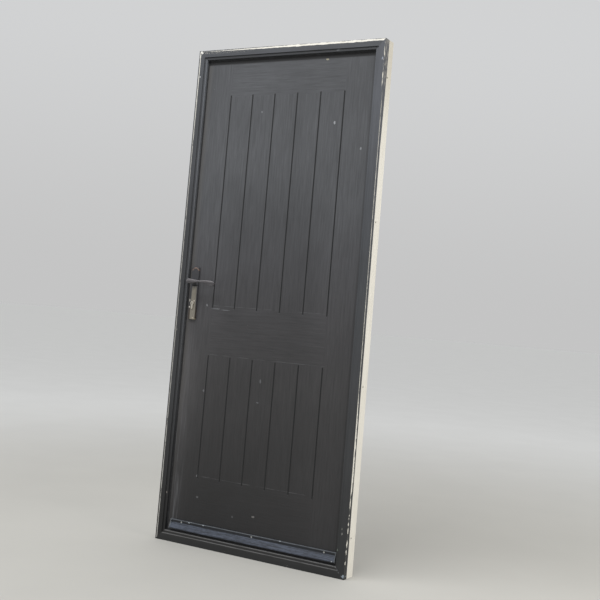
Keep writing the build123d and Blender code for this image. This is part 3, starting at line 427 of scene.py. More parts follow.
# Ranges are in millimetres along X or up from the floor, the others are shares of light or of a pattern
skinFinish = {
    # the paint's tones are lighter towards the top: painted light from above, over the paint's own anthracite
    "paint": (
        (60, "#232224"), (250, "#2b2a2b"), (480, "#323132"), (700, "#383738"), (940, "#3e3d3f"),
        (1200, "#454548"), (1440, "#4a4b4e"), (1700, "#4a4b4e"), (2000, "#444548"),
    ),
    "boardEdge": 275.0,
    "boardEdgeSoft": 0.5,
    "railEdges": (279.0, 784.0, 989.0, 1886.0),
    "grainWidth": 6.0,      # moulded grain lines are 0.3 to 1 apart, drawn coarser so that they show
    "grainLength": 130.0,
    "grainLight": (0.3, 0.75, 0.7, 1.37),
    "grainDepth": 0.5,
    "roughness": (0.0, 1.0, 0.45, 0.7),
    "cloudSize": (190, 190, 260),
    "cloudLight": (0.3, 0.7, 0.9, 1.1),
    "acrossLight": (-300.0, 400.0, 1.05, 0.94),
    # the boards' middle is duller than the stiles, except near the top
    "boardsWithin": (310.0, 170.0),
    "dullBelow": (1650.0, 1400.0),
    "dullLight": (0.0, 1.0, 1.0, 0.82),
    # painted shade on the leaf beside the hinge jamb's nib
    "paintedShadeByHingeNib": (392.5, 395.5, 1.0, 0.7),
    # near the floor the lock side is darker than the hinge side
    "footSlant": (-320.0, 300.0, -0.3, 0.2),
    "footBelow": (620.0, 250.0),
    # beside the lock's gasket the lower half is rubbed lighter, most of all in a line
    "rubbedBroad": (-300.0, -362.0, 0.0, 0.4),
    "rubbedNarrow": (-352.0, -376.0, 0.0, 0.45),
    "rubbedBelow": (1000.0, 700.0),
    # the strip beside the lock is greyed by hands, with a brown tinge
    "lockStrip": "#5a5753",
    "stripFrom": (-372.0, -402.0),
    "stripUp": (250.0, 900.0, 0.16, 0.42),
    # long pale smears of water down the lock side's foot
    "bloom": "#6c6d70",
    "smearSize": (9, 9, 260),
    "smears": (0.48, 0.66, 0.0, 0.5),
    "smearsBelow": (620.0, 420.0),
    "smearsFrom": (-345.0, -375.0),
    # rubbed lines where the boards meet the rails
    "railLine": (3.5, 2.4),     # how far above the edge, and its width
    "railLineWithin": (287.0, 275.0),
    "railLineSize": (45, 45, 3),
    "railLineBroken": (0.42, 0.62),
    "railLineShare": 0.4,
    # small light specks all over
    "speck": "#8c8c8a",
    "speckSpacing": 85.0,
    "speckRadius": 1.9,
    "speckEdge": (-0.3, 0.3, 0.0, 0.5),
    "grooveDirtAndShade": "#161718",
    "groove": (0.15, 0.7),      # dirt and painted shade thicken between these depths
    # painted shadow under the head, fading in between two heights
    "paintedShadowUnderHead": "#0e0e10",
    "shadowUnderHeadFrom": (2024.5, 2030.5),
    "scuffs": (
        (239.7, 1761.6, 4.5, 8, "#8d8f92"),
        (366.9, 1654.8, 4, 6, "#7f8184"),
        (184, 2024, 7, 4, "#8f8a76"),
        (-112, 1815, 5, 4, "#6c6e71"),
        (-304, 992, 4, 5, "#77787b"),
        (-256, 980, 24, 2.2, "#66676a"),
        (-210, 977, 22, 2.0, "#636467"),
        (-277, 282, 6, 6, "#67686a"),
        (-268, 197, 6, 4, "#565759"),
        (13, 161, 9, 4, "#6a6866"),
        (-87, 145, 5, 4, "#4b4c4e"),
        (-283, 635, 5, 5, "#606164"),
        (-13, 614, 7, 3, "#5b5c5f"),
        (-7, 700, 4, 9, "#58595c"),
    ),
}


# Grain of the moulded skin: upright on stiles and boards, level on the rails
def skinGrain(tree, place, x, z):
    s = skinFinish
    low, lowTop, highBottom, high = s["railEdges"]
    soft = s["boardEdgeSoft"]
    short, long = s["grainWidth"], s["grainLength"]
    across = patches(tree, place, (long, short, short), detail=7.0, roughness=0.74)
    up = patches(tree, place, (short, short, long), detail=7.0, roughness=0.74)
    fromMiddle = put(tree, "Math", {0: x}, operation="ABSOLUTE")
    boardLimits = (s["boardEdge"] + soft, s["boardEdge"] - soft)
    inside = put(tree, "MapRange", {0: fromMiddle, **limits(boardLimits)}, **smooth)
    bottomRail = put(tree, "MapRange", {0: z, 1: low + soft, 2: low - soft}, **smooth)
    topRail = put(tree, "MapRange", {0: z, 1: high - soft, 2: high + soft}, **smooth)
    middleRail = band(tree, z, (lowTop + highBottom) / 2, highBottom - lowTop)
    rails = put(tree, "Math", {0: bottomRail, 1: topRail}, operation="MAXIMUM")
    rails = put(tree, "Math", {0: rails, 1: middleRail}, operation="MAXIMUM")
    level = put(tree, "Math", {0: inside, 1: rails}, operation="MULTIPLY")
    return put(tree, "Mix", {0: level, 2: up, 3: across}, data_type="FLOAT")


# Glass-fibre skin moulded with woodgrain and sprayed anthracite: dull, lighter higher up with painted light,
# dirt and painted shade in the grooves, a painted shadow under the head
def outerSkin():
    s = skinFinish
    material, tree, shader, place = startMaterial("painted glass-fibre skin", IOR=1.5)
    x, y, z = put(tree, "SeparateXYZ", {0: place}).node.outputs
    grain = skinGrain(tree, place, x, z)
    clouds = patches(tree, place, s["cloudSize"], detail=3.0)
    fromMiddle = put(tree, "Math", {0: x}, operation="ABSOLUTE")
    boards = put(tree, "MapRange", {0: fromMiddle, **limits(s["boardsWithin"])}, **smooth)
    below = put(tree, "MapRange", {0: z, **limits(s["dullBelow"])}, **smooth)
    dull = put(tree, "Math", {0: boards, 1: below}, operation="MULTIPLY")
    slant = put(tree, "MapRange", {0: x, **limits(s["footSlant"])})
    nearFloor = put(tree, "MapRange", {0: z, **limits(s["footBelow"])}, **smooth)
    broad = put(tree, "MapRange", {0: x, **limits(s["rubbedBroad"])}, **smooth)
    narrow = put(tree, "MapRange", {0: x, **limits(s["rubbedNarrow"])}, **smooth)
    rubbedAndHighlit = put(tree, "Math", {0: broad, 1: narrow}, operation="ADD")
    lowerHalf = put(tree, "MapRange", {0: z, **limits(s["rubbedBelow"])}, **smooth)
    light = put(tree, "MapRange", {0: grain, **limits(s["grainLight"])})
    for share in (
        put(tree, "MapRange", {0: clouds, **limits(s["cloudLight"])}),
        put(tree, "MapRange", {0: x, **limits(s["acrossLight"])}),
        put(tree, "MapRange", {0: dull, **limits(s["dullLight"])}),
        # painted shade beside the hinge jamb's nib
        put(tree, "MapRange", {0: x, **limits(s["paintedShadeByHingeNib"])}, **smooth),
        put(tree, "Math", {0: slant, 1: nearFloor, 2: 1.0}, operation="MULTIPLY_ADD"),
        put(tree, "Math", {0: rubbedAndHighlit, 1: lowerHalf, 2: 1.0}, operation="MULTIPLY_ADD"),
    ):
        light = put(tree, "Math", {0: light, 1: share}, operation="MULTIPLY")
    # painted light: the paint's tones make the leaf lighter towards the top
    colour = put(tree, "VectorMath", {0: upTheDoor(tree, z, s["paint"]), "Scale": light}, operation="SCALE")

    strip = put(tree, "MapRange", {0: x, **limits(s["stripFrom"])}, **smooth)
    upper = put(tree, "MapRange", {0: z, **limits(s["stripUp"])})
    strip = put(tree, "Math", {0: strip, 1: upper}, operation="MULTIPLY")
    colour = put(tree, "Mix", {0: strip, 6: colour, 7: linear(s["lockStrip"])}, **colours)

    smears = patches(tree, place, s["smearSize"], detail=3.0)
    smears = put(tree, "MapRange", {0: smears, **limits(s["smears"])}, **smooth)
    for value, reach in ((z, s["smearsBelow"]), (x, s["smearsFrom"])):
        share = put(tree, "MapRange", {0: value, **limits(reach)}, **smooth)
        smears = put(tree, "Math", {0: smears, 1: share}, operation="MULTIPLY")
    colour = put(tree, "Mix", {0: smears, 6: colour, 7: linear(s["bloom"])}, **colours)

    inside = put(tree, "MapRange", {0: fromMiddle, **limits(s["railLineWithin"])}, **smooth)
    broken = patches(tree, place, s["railLineSize"])
    broken = put(tree, "MapRange", {0: broken, **limits(s["railLineBroken"])}, **smooth)
    above, width = s["railLine"]
    for height in s["railEdges"][:3]:
        line = band(tree, z, height + above, width)
        for share in (inside, broken, s["railLineShare"]):
            line = put(tree, "Math", {0: line, 1: share}, operation="MULTIPLY")
        colour = put(tree, "Mix", {0: line, 6: colour, 7: linear(s["bloom"])}, **colours)

    cells = put(tree, "TexVoronoi", {"Vector": place, "Scale": 1 / s["speckSpacing"]}, feature="F1").node
    pick = put(tree, "SeparateColor", {0: cells.outputs["Color"]})
    radius = put(tree, "Math", {0: pick, 1: s["speckRadius"]}, operation="MULTIPLY")
    away = put(tree, "Math", {0: cells.outputs["Distance"], 1: s["speckSpacing"]}, operation="MULTIPLY")
    room = put(tree, "Math", {0: radius, 1: away}, operation="SUBTRACT")
    specks = put(tree, "MapRange", {0: room, **limits(s["speckEdge"])}, **smooth)
    colour = put(tree, "Mix", {0: specks, 6: colour, 7: linear(s["speck"])}, **colours)
    colour = spots(tree, place, x, z, colour, s["scuffs"])

    # dirt and painted shade darken the grooves
    sunkLimits = [doorSet["leafFace"] + depth for depth in s["groove"]]
    # below the head the leaf gets a painted shadow
    for value, reach, tone in ((y, sunkLimits, s["grooveDirtAndShade"]), (z, s["shadowUnderHeadFrom"], s["paintedShadowUnderHead"])):
        share = put(tree, "MapRange", {0: value, **limits(reach)}, **smooth)
        colour = put(tree, "Mix", {0: share, 6: colour, 7: linear(tone)}, **colours)
    rough = put(tree, "MapRange", {0: grain, **limits(s["roughness"])})
    surface(tree, shader, colour, grain, s["grainDepth"], rough)
    return material


innerSkinFinish = {
    "paint": "#e6e5df",
    "shade": "#b9b7ae",
    "grooveShade": 0.6,
    "grain": (0.45, 0.8, 0.0, 0.14),
    "grainDepth": 0.35,
    "roughness": (0.0, 1.0, 0.3, 0.5),
}


# The same moulded skin in white on the inside: clean, satin, soft shadows in the grain
def innerSkin():
    s = innerSkinFinish
    material, tree, shader, place = startMaterial("white glass-fibre skin", IOR=1.5)
    x, y, z = put(tree, "SeparateXYZ", {0: place}).node.outputs
    grain = skinGrain(tree, place, x, z)
    start, full = [doorSet["innerLeafFace"] - depth for depth in skinFinish["groove"]]
    sunk = put(tree, "MapRange", {0: y, 1: start, 2: full, 4: s["grooveShade"]}, **smooth)
    soft = put(tree, "MapRange", {0: grain, **limits(s["grain"])}, **smooth)
    shade = put(tree, "Math", {0: soft, 1: sunk}, operation="MAXIMUM")
    tone = {0: shade, 6: linear(s["paint"]), 7: linear(s["shade"])}
    rough = put(tree, "MapRange", {0: grain, **limits(s["roughness"])})
    surface(tree, shader, put(tree, "Mix", tone, **colours), grain, s["grainDepth"], rough)
    return material


finish(outerSkin(), "outer_skin")
finish(innerSkin(), "inner_skin")

timberFinish = {
    "pale": "#cfae7f",
    "late": "#a97f4c",
    "ringWidth": 4.5,
    "bend": 22.0,           # how far the rings wander
    "bendWidth": 16.0,
    "bendLength": 600.0,
    "fibreWidth": 1.4,      # twice the real width, so that it shows
    "fibreLength": 60.0,
    "fibreDepth": 0.15,
    "lateWood": (-0.1, 1.0),
    "faint": (0.6, 0.3),
}


# Planed softwood: straight growth rings with darker late wood, and fine fibre along the grain
def planedSoftwood(name, along):
    t = timberFinish
    material, tree, shader, place = startMaterial("planed softwood " + name, IOR=1.5, Roughness=0.6)
    lengths = [t["bendWidth"]] * 3
    lengths[along] = t["bendLength"]
    bend = patches(tree, place, lengths, detail=2.0)
    y = put(tree, "SeparateXYZ", {0: place}, out=1)
    acrossGrain = put(tree, "Math", {0: bend, 1: t["bend"], 2: y}, operation="MULTIPLY_ADD")
    turns = put(tree, "Math", {0: acrossGrain, 1: 2 * math.pi / t["ringWidth"]}, operation="MULTIPLY")
    rings = put(tree, "Math", {0: turns}, operation="SINE")
    lengths = [t["fibreWidth"]] * 3
    lengths[along] = t["fibreLength"]
    fibre = patches(tree, place, lengths, detail=4.0)
    late = put(tree, "MapRange", {0: rings, **limits(t["lateWood"])}, **smooth)
    faint = put(tree, "Math", {0: fibre, **limits(t["faint"])}, operation="MULTIPLY_ADD")
    share = put(tree, "Math", {0: late, 1: faint}, operation="MULTIPLY")
    tone = {0: share, 6: linear(t["pale"]), 7: linear(t["late"])}
    surface(tree, shader, put(tree, "Mix", tone, **colours), fibre, t["fibreDepth"])
    return material


finish(planedSoftwood("stiles", 2), "lock_stile", "hinge_stile")
finish(planedSoftwood("top and bottom", 0), "top_timber", "bottom_timber")

foamFinish = {"cream": "#e6d49b", "pore": "#c9b273", "poreSize": (1.5, 1.5, 1.5), "poreDepth": 0.4}


# Rigid polyurethane foam: creamy, dull and finely pored
def rigidFoam():
    f = foamFinish
    material, tree, shader, place = startMaterial("rigid polyurethane foam", IOR=1.45, Roughness=0.9)
    pores = patches(tree, place, f["poreSize"], detail=6.0)
    tone = {0: pores, 6: linear(f["cream"]), 7: linear(f["pore"])}
    surface(tree, shader, put(tree, "Mix", tone, **colours), pores, f["poreDepth"])
    return material


finish(rigidFoam(), "foam_core")
print("leaf finished")

# Weather bar

barFinish = {
    # the channel is painted darker than the sloping face: painted shade in the groove
    "shadedChannel": "#14181f",
    "apron": "#272c35",
    "slopeTop": (79.0, 77.0),
    "chalked": "#505766",
    "chalk": (0.8, 1.2),
    "chalkShare": (0.0, 1.0, 0.12, 0.85),   # the channel's and the sloping face's
    "mottleSize": (22, 9, 4),
    "streakSize": (150, 8, 3),
    "topLine": "#5f6368",
    "topLineLevel": 91.0,
    "topLineWidth": 5.2,
    "topLineSize": (30, 10, 10),
    "topLineDull": (0.25, 0.6, 0.45, 0.95),
    "bareMetal": "#a9adb2",
    "bare": (0.64, 0.72),
    "roughness": (0.0, 1.0, 0.35, 0.65),
    "depth": 0.12,
    "chips": (
        (-292.6, 87.6, 5, 2.0, "#c3cbd4"), (-220.7, 89, 5, 1.6, "#b3bac2"), (389.7, 57, 3.5, 2.6, "#a4a8aa"),
        (-386, 70, 1.6, 8, "#8d979f"), (-385, 86, 2.4, 2.2, "#a2abb2"), (150, 90, 6, 1.3, "#9aa0a6"),
    ),
}


# Aluminium extrusion painted blue-black: the channel darker with painted shade, the sloping face chalked and
# streaked, the top edge rubbed
def paintedBar():
    b = barFinish
    material, tree, shader, place = startMaterial("painted aluminium extrusion", IOR=1.5)
    x, _, z = put(tree, "SeparateXYZ", {0: place}).node.outputs
    mottle = patches(tree, place, b["mottleSize"], detail=6.0, roughness=0.7)
    streaks = patches(tree, place, b["streakSize"], detail=4.0)
    slope = put(tree, "MapRange", {0: z, **limits(b["slopeTop"])}, **smooth)
    colour = put(tree, "Mix", {0: slope, 6: linear(b["shadedChannel"]), 7: linear(b["apron"])}, **colours)
    cloudy = put(tree, "Math", {0: mottle, 1: streaks}, operation="ADD")
    chalk = put(tree, "MapRange", {0: cloudy, **limits(b["chalk"])}, **smooth)
    share = put(tree, "MapRange", {0: slope, **limits(b["chalkShare"])})
    chalk = put(tree, "Math", {0: chalk, 1: share}, operation="MULTIPLY")
    colour = put(tree, "Mix", {0: chalk, 6: colour, 7: linear(b["chalked"])}, **colours)
    along = patches(tree, place, b["topLineSize"], detail=4.0)
    line = band(tree, z, b["topLineLevel"], b["topLineWidth"])
    dull = put(tree, "MapRange", {0: along, **limits(b["topLineDull"])})
    line = put(tree, "Math", {0: line, 1: dull}, operation="MULTIPLY")
    colour = put(tree, "Mix", {0: line, 6: colour, 7: linear(b["topLine"])}, **colours)
    chipped = put(tree, "MapRange", {0: along, **limits(b["bare"])}, **smooth)
    bare = put(tree, "Math", {0: line, 1: chipped}, operation="MULTIPLY")
    colour = put(tree, "Mix", {0: bare, 6: colour, 7: linear(b["bareMetal"])}, **colours)
    colour = spots(tree, place, x, z, colour, b["chips"])
    rough = put(tree, "MapRange", {0: mottle, **limits(b["roughness"])})
    surface(tree, shader, colour, mottle, b["depth"], rough)
    return material


capFinish = {"nylon": "#8b8f93", "grime": "#2c2e30", "grimeSize": (5, 5, 5), "depth": 0.1}


# Moulded nylon end caps, greyed and grimy
def capPlastic():
    c = capFinish
    material, tree, shader, place = startMaterial("moulded nylon", IOR=1.53, Roughness=0.5)
    grime = patches(tree, place, c["grimeSize"], detail=5.0)
    tone = {0: grime, 6: linear(c["nylon"]), 7: linear(c["grime"])}
    surface(tree, shader, put(tree, "Mix", tone, **colours), grime, c["depth"])
    return material


finish(paintedBar(), "weather_bar")
finish(capPlastic(), "bar_end_caps")
print("weather bar finished")

# Metals

# Tint, stain and roughness of each metal
metals = {
    "zinc": ("#b9bcbf", "#8a8478", 0.34),       # cool and a little cloudy
    "stainless": ("#c8c8c6", "#9b9994", 0.28),  # upright brush marks stretch the lights
    "nickel": ("#bdbbb5", "#8d8a83", 0.3),      # warm and satin
    "turned": ("#c2c3c4", "#90918f", 0.25),     # smooth and bright
    "chrome": ("#d4d5d6", "#b3b3b2", 0.14),     # nearly a mirror
    "wornNickel": ("#d2ccc0", "#7d7260", 0.3),  # yellowish, with the brass showing in brown stains
    "screw": ("#c9cbcc", "#8f8a80", 0.3),       # bright, with small stains
}
metalDetail = {
    "stainSize": (9, 9, 9),
    "stains": (0.45, 0.8),
    "grit": 0.9,
    "brushLength": 40.0,    # brush marks are drawn 0.9 wide, coarser than the real 0.1
    "smoother": 0.08,
    "rougher": 0.14,
}


# A bare or plated metal: a brushed or satin face with small stains
def metalFinish(name, metal, brushed=None, stained=0.35, scratch=0.05):
    d = metalDetail
    tint, stain, roughness = metals[metal]
    material, tree, shader, place = startMaterial(name, Metallic=1.0)
    marks = patches(tree, place, d["stainSize"], detail=6.0, roughness=0.65)
    stains = put(tree, "MapRange", {0: marks, **limits(d["stains"]), 4: stained}, **smooth)
    lengths = [d["grit"]] * 3
    if brushed is not None:
        lengths[brushed] = d["brushLength"]
    lines = patches(tree, place, lengths, detail=4.0)
    tone = {0: stains, 6: linear(tint), 7: linear(stain)}
    rough = put(tree, "MapRange", {0: lines, 3: roughness - d["smoother"], 4: roughness + d["rougher"]})
    surface(tree, shader, put(tree, "Mix", tone, **colours), lines, scratch, rough)
    return material


finish(
    metalFinish("bright zinc plated steel", "zinc", stained=0.4),
    *[f"steel_{side}" for side in frameSides],
    "drive_rail", "gearbox_case", "follower_hub", "bottom_hook_case", "top_hook_case", "spindle",
    "lever_grub_screws",
)
finish(
    metalFinish("brushed stainless steel", "stainless", brushed=2),
    "bottom_hook_keep", "centre_keep", "top_hook_keep", "faceplate",
)
finish(
    metalFinish("satin nickel plated steel", "nickel", brushed=0),
    "latch_bolt", "deadbolt", "bottom_hook", "top_hook",
)
hingeLevels = ("bottom", "middle", "top")
finish(metalFinish("turned steel pin", "turned"), *[f"{level}_hinge_pin" for level in hingeLevels])

handleFinish = {
    "coating": "#434346",
    "leftCoat": "#4a433d",      # what is left of the coating at the plate's foot
    "leftCoatBelow": (1000.0, 960.0),
    "bare": "#8b867b",
    "bareStrip": (-370.75, 24.5),   # middle and width of the worn strip, up to the plate's right edge
    "bareSoft": 3.0,
    "bareBelow": (1080.0, 1048.0),
    "barePatchy": (0.25, 0.55, 0.55, 1.0),
    "wearSize": (6, 6, 26),
    "rust": "#93796b",
    "rustMiddle": (-372.0, 1131.0),
    "rustSize": (17.0, 16.0),
    "rustFrom": (0.1, 0.5),
    "rustPatchy": (0.4, 0.6, 0.35, 0.95),
    "rustRing": (0.93, 0.3),    # where on the arc's radius, and how wide
    "rustSoft": 0.2,
    "plateRoughness": (0.0, 1.0, 0.35, 0.6),
    "leverMetal": "#7f7c7e",
    "leverDull": "#555355",
    "leverWearSize": (18, 6, 5),
    "leverTop": (1084.0, 1093.0, 0.0, 0.4),
    "leverPolish": (0.45, 0.95),
    "leverRoughness": (0.0, 1.0, 0.3, 0.6),
    "depth": 0.12,
    "chips": (
        (-371, 1072, 17, 4.5, "#0d0d0e"),  # painted shadow under the lever's neck
        # the next three are painted highlights where the cylinder's edges catch the light
        (-389.5, 1007, 3.2, 5.5, "#d5d0c4"),
        (-367, 1006, 3.0, 3.5, "#d8cbbd"),
        (-389.5, 979, 3.4, 4.4, "#e0dbd0"),
        (-368, 934, 3.4, 3.4, "#b9ae9a"),
        (-358, 930, 2.0, 2.6, "#a59a80"),
    ),
}


# Lacquered zinc die casting: brown-grey where lacquer is left, pale bare metal round the cylinder, painted
# highlights by the cylinder, a painted shadow under the lever's neck
def wornPlate():
    h = handleFinish
    material, tree, shader, place = startMaterial("worn lacquered zinc casting", Metallic=0.35)
    x, _, z = put(tree, "SeparateXYZ", {0: place}).node.outputs
    wear = patches(tree, place, h["wearSize"], detail=6.0, roughness=0.65)
    lowest = put(tree, "MapRange", {0: z, **limits(h["leftCoatBelow"])}, **smooth)
    colour = put(tree, "Mix", {0: lowest, 6: linear(h["coating"]), 7: linear(h["leftCoat"])}, **colours)
    amount = band(tree, x, *h["bareStrip"], edge=h["bareSoft"])
    lower = put(tree, "MapRange", {0: z, **limits(h["bareBelow"])}, **smooth)
    patchy = put(tree, "MapRange", {0: wear, **limits(h["barePatchy"])})
    for share in (lower, patchy):
        amount = put(tree, "Math", {0: amount, 1: share}, operation="MULTIPLY")
    colour = put(tree, "Mix", {0: amount, 6: colour, 7: linear(h["bare"])}, **colours)
    # a rusty arc round the plate's top
    middle, size = h["rustMiddle"], h["rustSize"]
    u = put(tree, "MapRange", {0: x, 1: middle[0], 2: middle[0] + size[0]}, clamp=False)
    v = put(tree, "MapRange", {0: z, 1: middle[1], 2: middle[1] + size[1]}, clamp=False)
    flat = put(tree, "CombineXYZ", {0: u, 1: v})
    reach = put(tree, "VectorMath", {0: flat}, out=1, operation="LENGTH")
    rusty = put(tree, "MapRange", {0: wear, **limits(h["rustPatchy"])}, **smooth)
    top = put(tree, "MapRange", {0: v, **limits(h["rustFrom"])}, **smooth)
    for share in (top, band(tree, reach, *h["rustRing"], edge=h["rustSoft"])):
        rusty = put(tree, "Math", {0: rusty, 1: share}, operation="MULTIPLY")
    colour = put(tree, "Mix", {0: rusty, 6: colour, 7: linear(h["rust"])}, **colours)
    colour = spots(tree, place, x, z, colour, h["chips"])
    rough = put(tree, "MapRange", {0: wear, **limits(h["plateRoughness"])})
    surface(tree, shader, colour, wear, h["depth"], rough)
    return material


# The lever's lacquer has gone: dull grey zinc, polished by hands along its top
def wornLever():
    h = handleFinish
    material, tree, shader, place = startMaterial("hand-worn zinc casting", Metallic=0.7)
    z = put(tree, "SeparateXYZ", {0: place}, out=2)
    wear = patches(tree, place, h["leverWearSize"], detail=6.0, roughness=0.65)
    top = put(tree, "MapRange", {0: z, **limits(h["leverTop"])}, **smooth)
    polished = put(tree, "Math", {0: top, 1: wear}, operation="ADD")
    amount = put(tree, "MapRange", {0: polished, **limits(h["leverPolish"])}, **smooth)
    tone = {0: amount, 6: linear(h["leverDull"]), 7: linear(h["leverMetal"])}
    rough = put(tree, "MapRange", {0: wear, **limits(h["leverRoughness"])})
    surface(tree, shader, put(tree, "Mix", tone, **colours), wear, h["depth"], rough)
    return material


finish(wornPlate(), "outer_plate")
finish(wornLever(), "outer_lever")
chrome = metalFinish("polished chrome on zinc", "chrome", stained=0.25, scratch=0.01)
finish(chrome, "inner_plate", "inner_lever")
finish(
    metalFinish("worn nickel on brass", "wornNickel", stained=0.6),
    "cylinder_body", "outer_plug", "inner_plug", "cylinder_cam",
)

hingeFinish = {
    "white": "#e8e7e2",
    "grime": "#b7b3a8",
    "grimeSize": (20, 20, 20),
    "grimeShare": (0.5, 0.85, 0.0, 0.3),
    "peelSize": (1.6, 1.6, 1.6),
    "peelDepth": 0.06,
}


# Powder-coated hinges: white, smooth with a faint orange peel
def whiteCoat():
    h = hingeFinish
    material, tree, shader, place = startMaterial("white powder coat", IOR=1.5, Roughness=0.32)
    grime = patches(tree, place, h["grimeSize"], detail=5.0)
    share = put(tree, "MapRange", {0: grime, **limits(h["grimeShare"])}, **smooth)
    tone = {0: share, 6: linear(h["white"]), 7: linear(h["grime"])}
    peel = patches(tree, place, h["peelSize"], detail=2.0)
    surface(tree, shader, put(tree, "Mix", tone, **colours), peel, h["peelDepth"])
    return material


hingeCoat = whiteCoat()
for half in ("frame_part", "leaf_part"):
    finish(hingeCoat, *[f"{level}_hinge_{half}" for level in hingeLevels])
print("metal finished")

# Screws

screwMake = {
    "headRadius": 3.6,
    "rim": 0.25,
    "shankRadius": 1.8,
    "plainShank": 0.6,
    "pitch": 1.4,
    "threadDepth": 0.35,
    "threadEnd": 1.0,       # the last turn ends before this, measured from the tip
    "pointLength": 0.6,
    "recessRadius": 1.9,
    "recessFoot": 0.55,     # how much of that radius is left at its foot
    "recessWidth": 1.0,
    "recessDepth": 1.5,
    "aboveHead": 0.5,       # the cutter stands out of the head by this
    "sides": 20,
    "firstTurn": 0.3,       # no two heads of a group stop at the same angle
    "nextTurn": 0.7,
}


# Half the outline of a countersunk screw with a threaded shank, as radii and heights from the head down
def screwOutline(length):
    s = screwMake
    head, shank = s["headRadius"], s["shankRadius"]
    root = shank - s["threadDepth"]
    outline = [(0.0, 0.0), (head - s["rim"], 0.0), (head, s["rim"]), (shank, head - shank)]
    height = head - shank + s["plainShank"]
    while height + s["pitch"] < length - s["threadEnd"]:
        outline += [(root, height), (shank, height + s["pitch"] / 2)]
        height += s["pitch"]
    return outline + [(root, height), (root, length - s["pointLength"]), (0.0, length)]


# The two blades that press the cross recess into a head
def crossCutter():
    s = screwMake
    cutter = bmesh.new()
    for angle in (0, math.pi / 2):
        blade = bmesh.ops.create_cube(cutter, size=1.0)["verts"]
        for vert in blade:
            deep = vert.co.z > 0
            reach = s["recessRadius"] * (s["recessFoot"] if deep else 1.0)
            vert.co = Vector((
                math.copysign(reach, vert.co.x) * mm,
                math.copysign(s["recessWidth"] / 2, vert.co.y) * mm,
                (s["recessDepth"] if deep else -s["aboveHead"]) * mm,
            ))
        bmesh.ops.rotate(cutter, verts=blade, cent=(0, 0, 0), matrix=Matrix.Rotation(angle, 3, "Z"))
    return cutter


def objectFrom(shape, name):
    mesh = bpy.data.meshes.new(name)
    shape.to_mesh(mesh)
    shape.free()
    made = bpy.data.objects.new(name, mesh)
    bpy.context.scene.collection.objects.link(made)
    return made


# One screw with its head's middle at the origin and its tip along +Z
def screwMesh(length):
    sides = screwMake["sides"]
    shape = bmesh.new()
    rings = []
    for radius, height in screwOutline(length):
        turns = [2 * math.pi * i / sides for i in range(sides if radius else 1)]
        corners = [(radius * mm * math.cos(a), radius * mm * math.sin(a), height * mm) for a in turns]
        rings.append([shape.verts.new(corner) for corner in corners])
    for first, second in zip(rings, rings[1:]):
        for i in range(sides):
            corners = [first[k % len(first)] for k in (i, i + 1)]
            corners += [second[k % len(second)] for k in (i + 1, i)]
            shape.faces.new(list(dict.fromkeys(corners)))  # three corners at the tip and the head's middle
    bmesh.ops.recalc_face_normals(shape, faces=shape.faces)
    screw = objectFrom(shape, "screwMaking")
    tool = objectFrom(crossCutter(), "crossMaking")
    cut = screw.modifiers.new("cross", "BOOLEAN")
    cut.operation = "DIFFERENCE"
    cut.use_self = True
    cut.object = tool
    bpy.context.view_layer.update()
    done = bpy.data.meshes.new_from_object(screw.evaluated_get(bpy.context.evaluated_depsgraph_get()))
    bpy.data.objects.remove(screw)
    bpy.data.objects.remove(tool)
    return done


# A group's screws as one piece: each has its head's middle at a place and its tip along the direction
def screwGroup(name, body, material, places, direction, length):
    single = screwMesh(length)
    joined = bmesh.new()
    turn = Vector((0, 0, 1)).rotation_difference(Vector(direction)).to_matrix().to_4x4()
    for number, place in enumerate(places):
        spin = Matrix.Rotation(screwMake["nextTurn"] * number + screwMake["firstTurn"], 4, "Z")
        copy = single.copy()
        copy.transform(Matrix.Translation(Vector(place) * mm) @ turn @ spin)
        joined.from_mesh(copy)
        bpy.data.meshes.remove(copy)
    piece = objectFrom(joined, name + ".dressed")
    piece.data.materials.append(material)
    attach(piece, body)
    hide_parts(name)


# The solids of one node, each as the list of its corners
def solidsOf(name):
    shape = bmesh.new()
    shape.from_mesh(nodes[name].data)
    bmesh.ops.remove_doubles(shape, verts=shape.verts, dist=1e-6)
    left = set(shape.verts)
    found = []
    while left:
        corners, queue = [], [left.pop()]
        while queue:
            vert = queue.pop()
            corners.append(vert.co.copy())
            for edge in vert.link_edges:
                other = edge.other_vert(vert)
                if other in left:
                    left.remove(other)
                    queue.append(other)
        found.append(corners)
    shape.free()
    return found


# The middle of each head, and the screws' length, read from the group's own node
def headPlaces(name, direction):
    ahead = Vector(direction)
    places = []
    for corners in solidsOf(name):
        reach = [corner.dot(ahead) for corner in corners]
        low = Vector([min(corner[i] for corner in corners) for i in range(3)])
        high = Vector([max(corner[i] for corner in corners) for i in range(3)])
        middle = (low + high) / 2
        middle += ahead * (min(reach) - middle.dot(ahead))
        places.append((tuple(middle / mm), (max(reach) - min(reach)) / mm))
    places.sort()
    return [place for place, _ in places], places[0][1]


# node, body, slot and the way that the screws point
screwGroups = (
    ("bar_screws", "leaf", "bar_screw_steel", (0, 1, 0)),
    ("faceplate_screws", "leaf", "zinc_steel", (1, 0, 0)),
    ("keep_screws", "frame", "zinc_steel", (-1, 0, 0)),
    ("hinge_frame_screws", "frame", "hinge_pin_steel", (0, -1, 0)),
    ("hinge_leaf_screws", "leaf", "hinge_pin_steel", (0, -1, 0)),
)
screwSteel = metalFinish("zinc plated screw steel", "screw", stained=0.4)
for name, body, slotName, direction in screwGroups:
    places, length = headPlaces(name, direction)
    screwGroup(name, body, screwSteel, places, direction, length)
    print(name, len(places), "screws")
finish(screwSteel, "cylinder_screw", "plate_bolts")

# Floor, light and camera

floorFinish = {
    # painted shade: the floor is darker near the door and paler further off
    "near": "#bdbbb5",
    "far": "#eeeeec",
    "paintedShadeFade": (1200.0, 6000.0),
    "cloudSize": (420, 420, 420),
    "clouds": (0.0, 1.0, 0.96, 1.04),
    "grain": (8, 8, 8),
    "grainDepth": 0.15,
    "halfSize": 60.0,   # metres
}
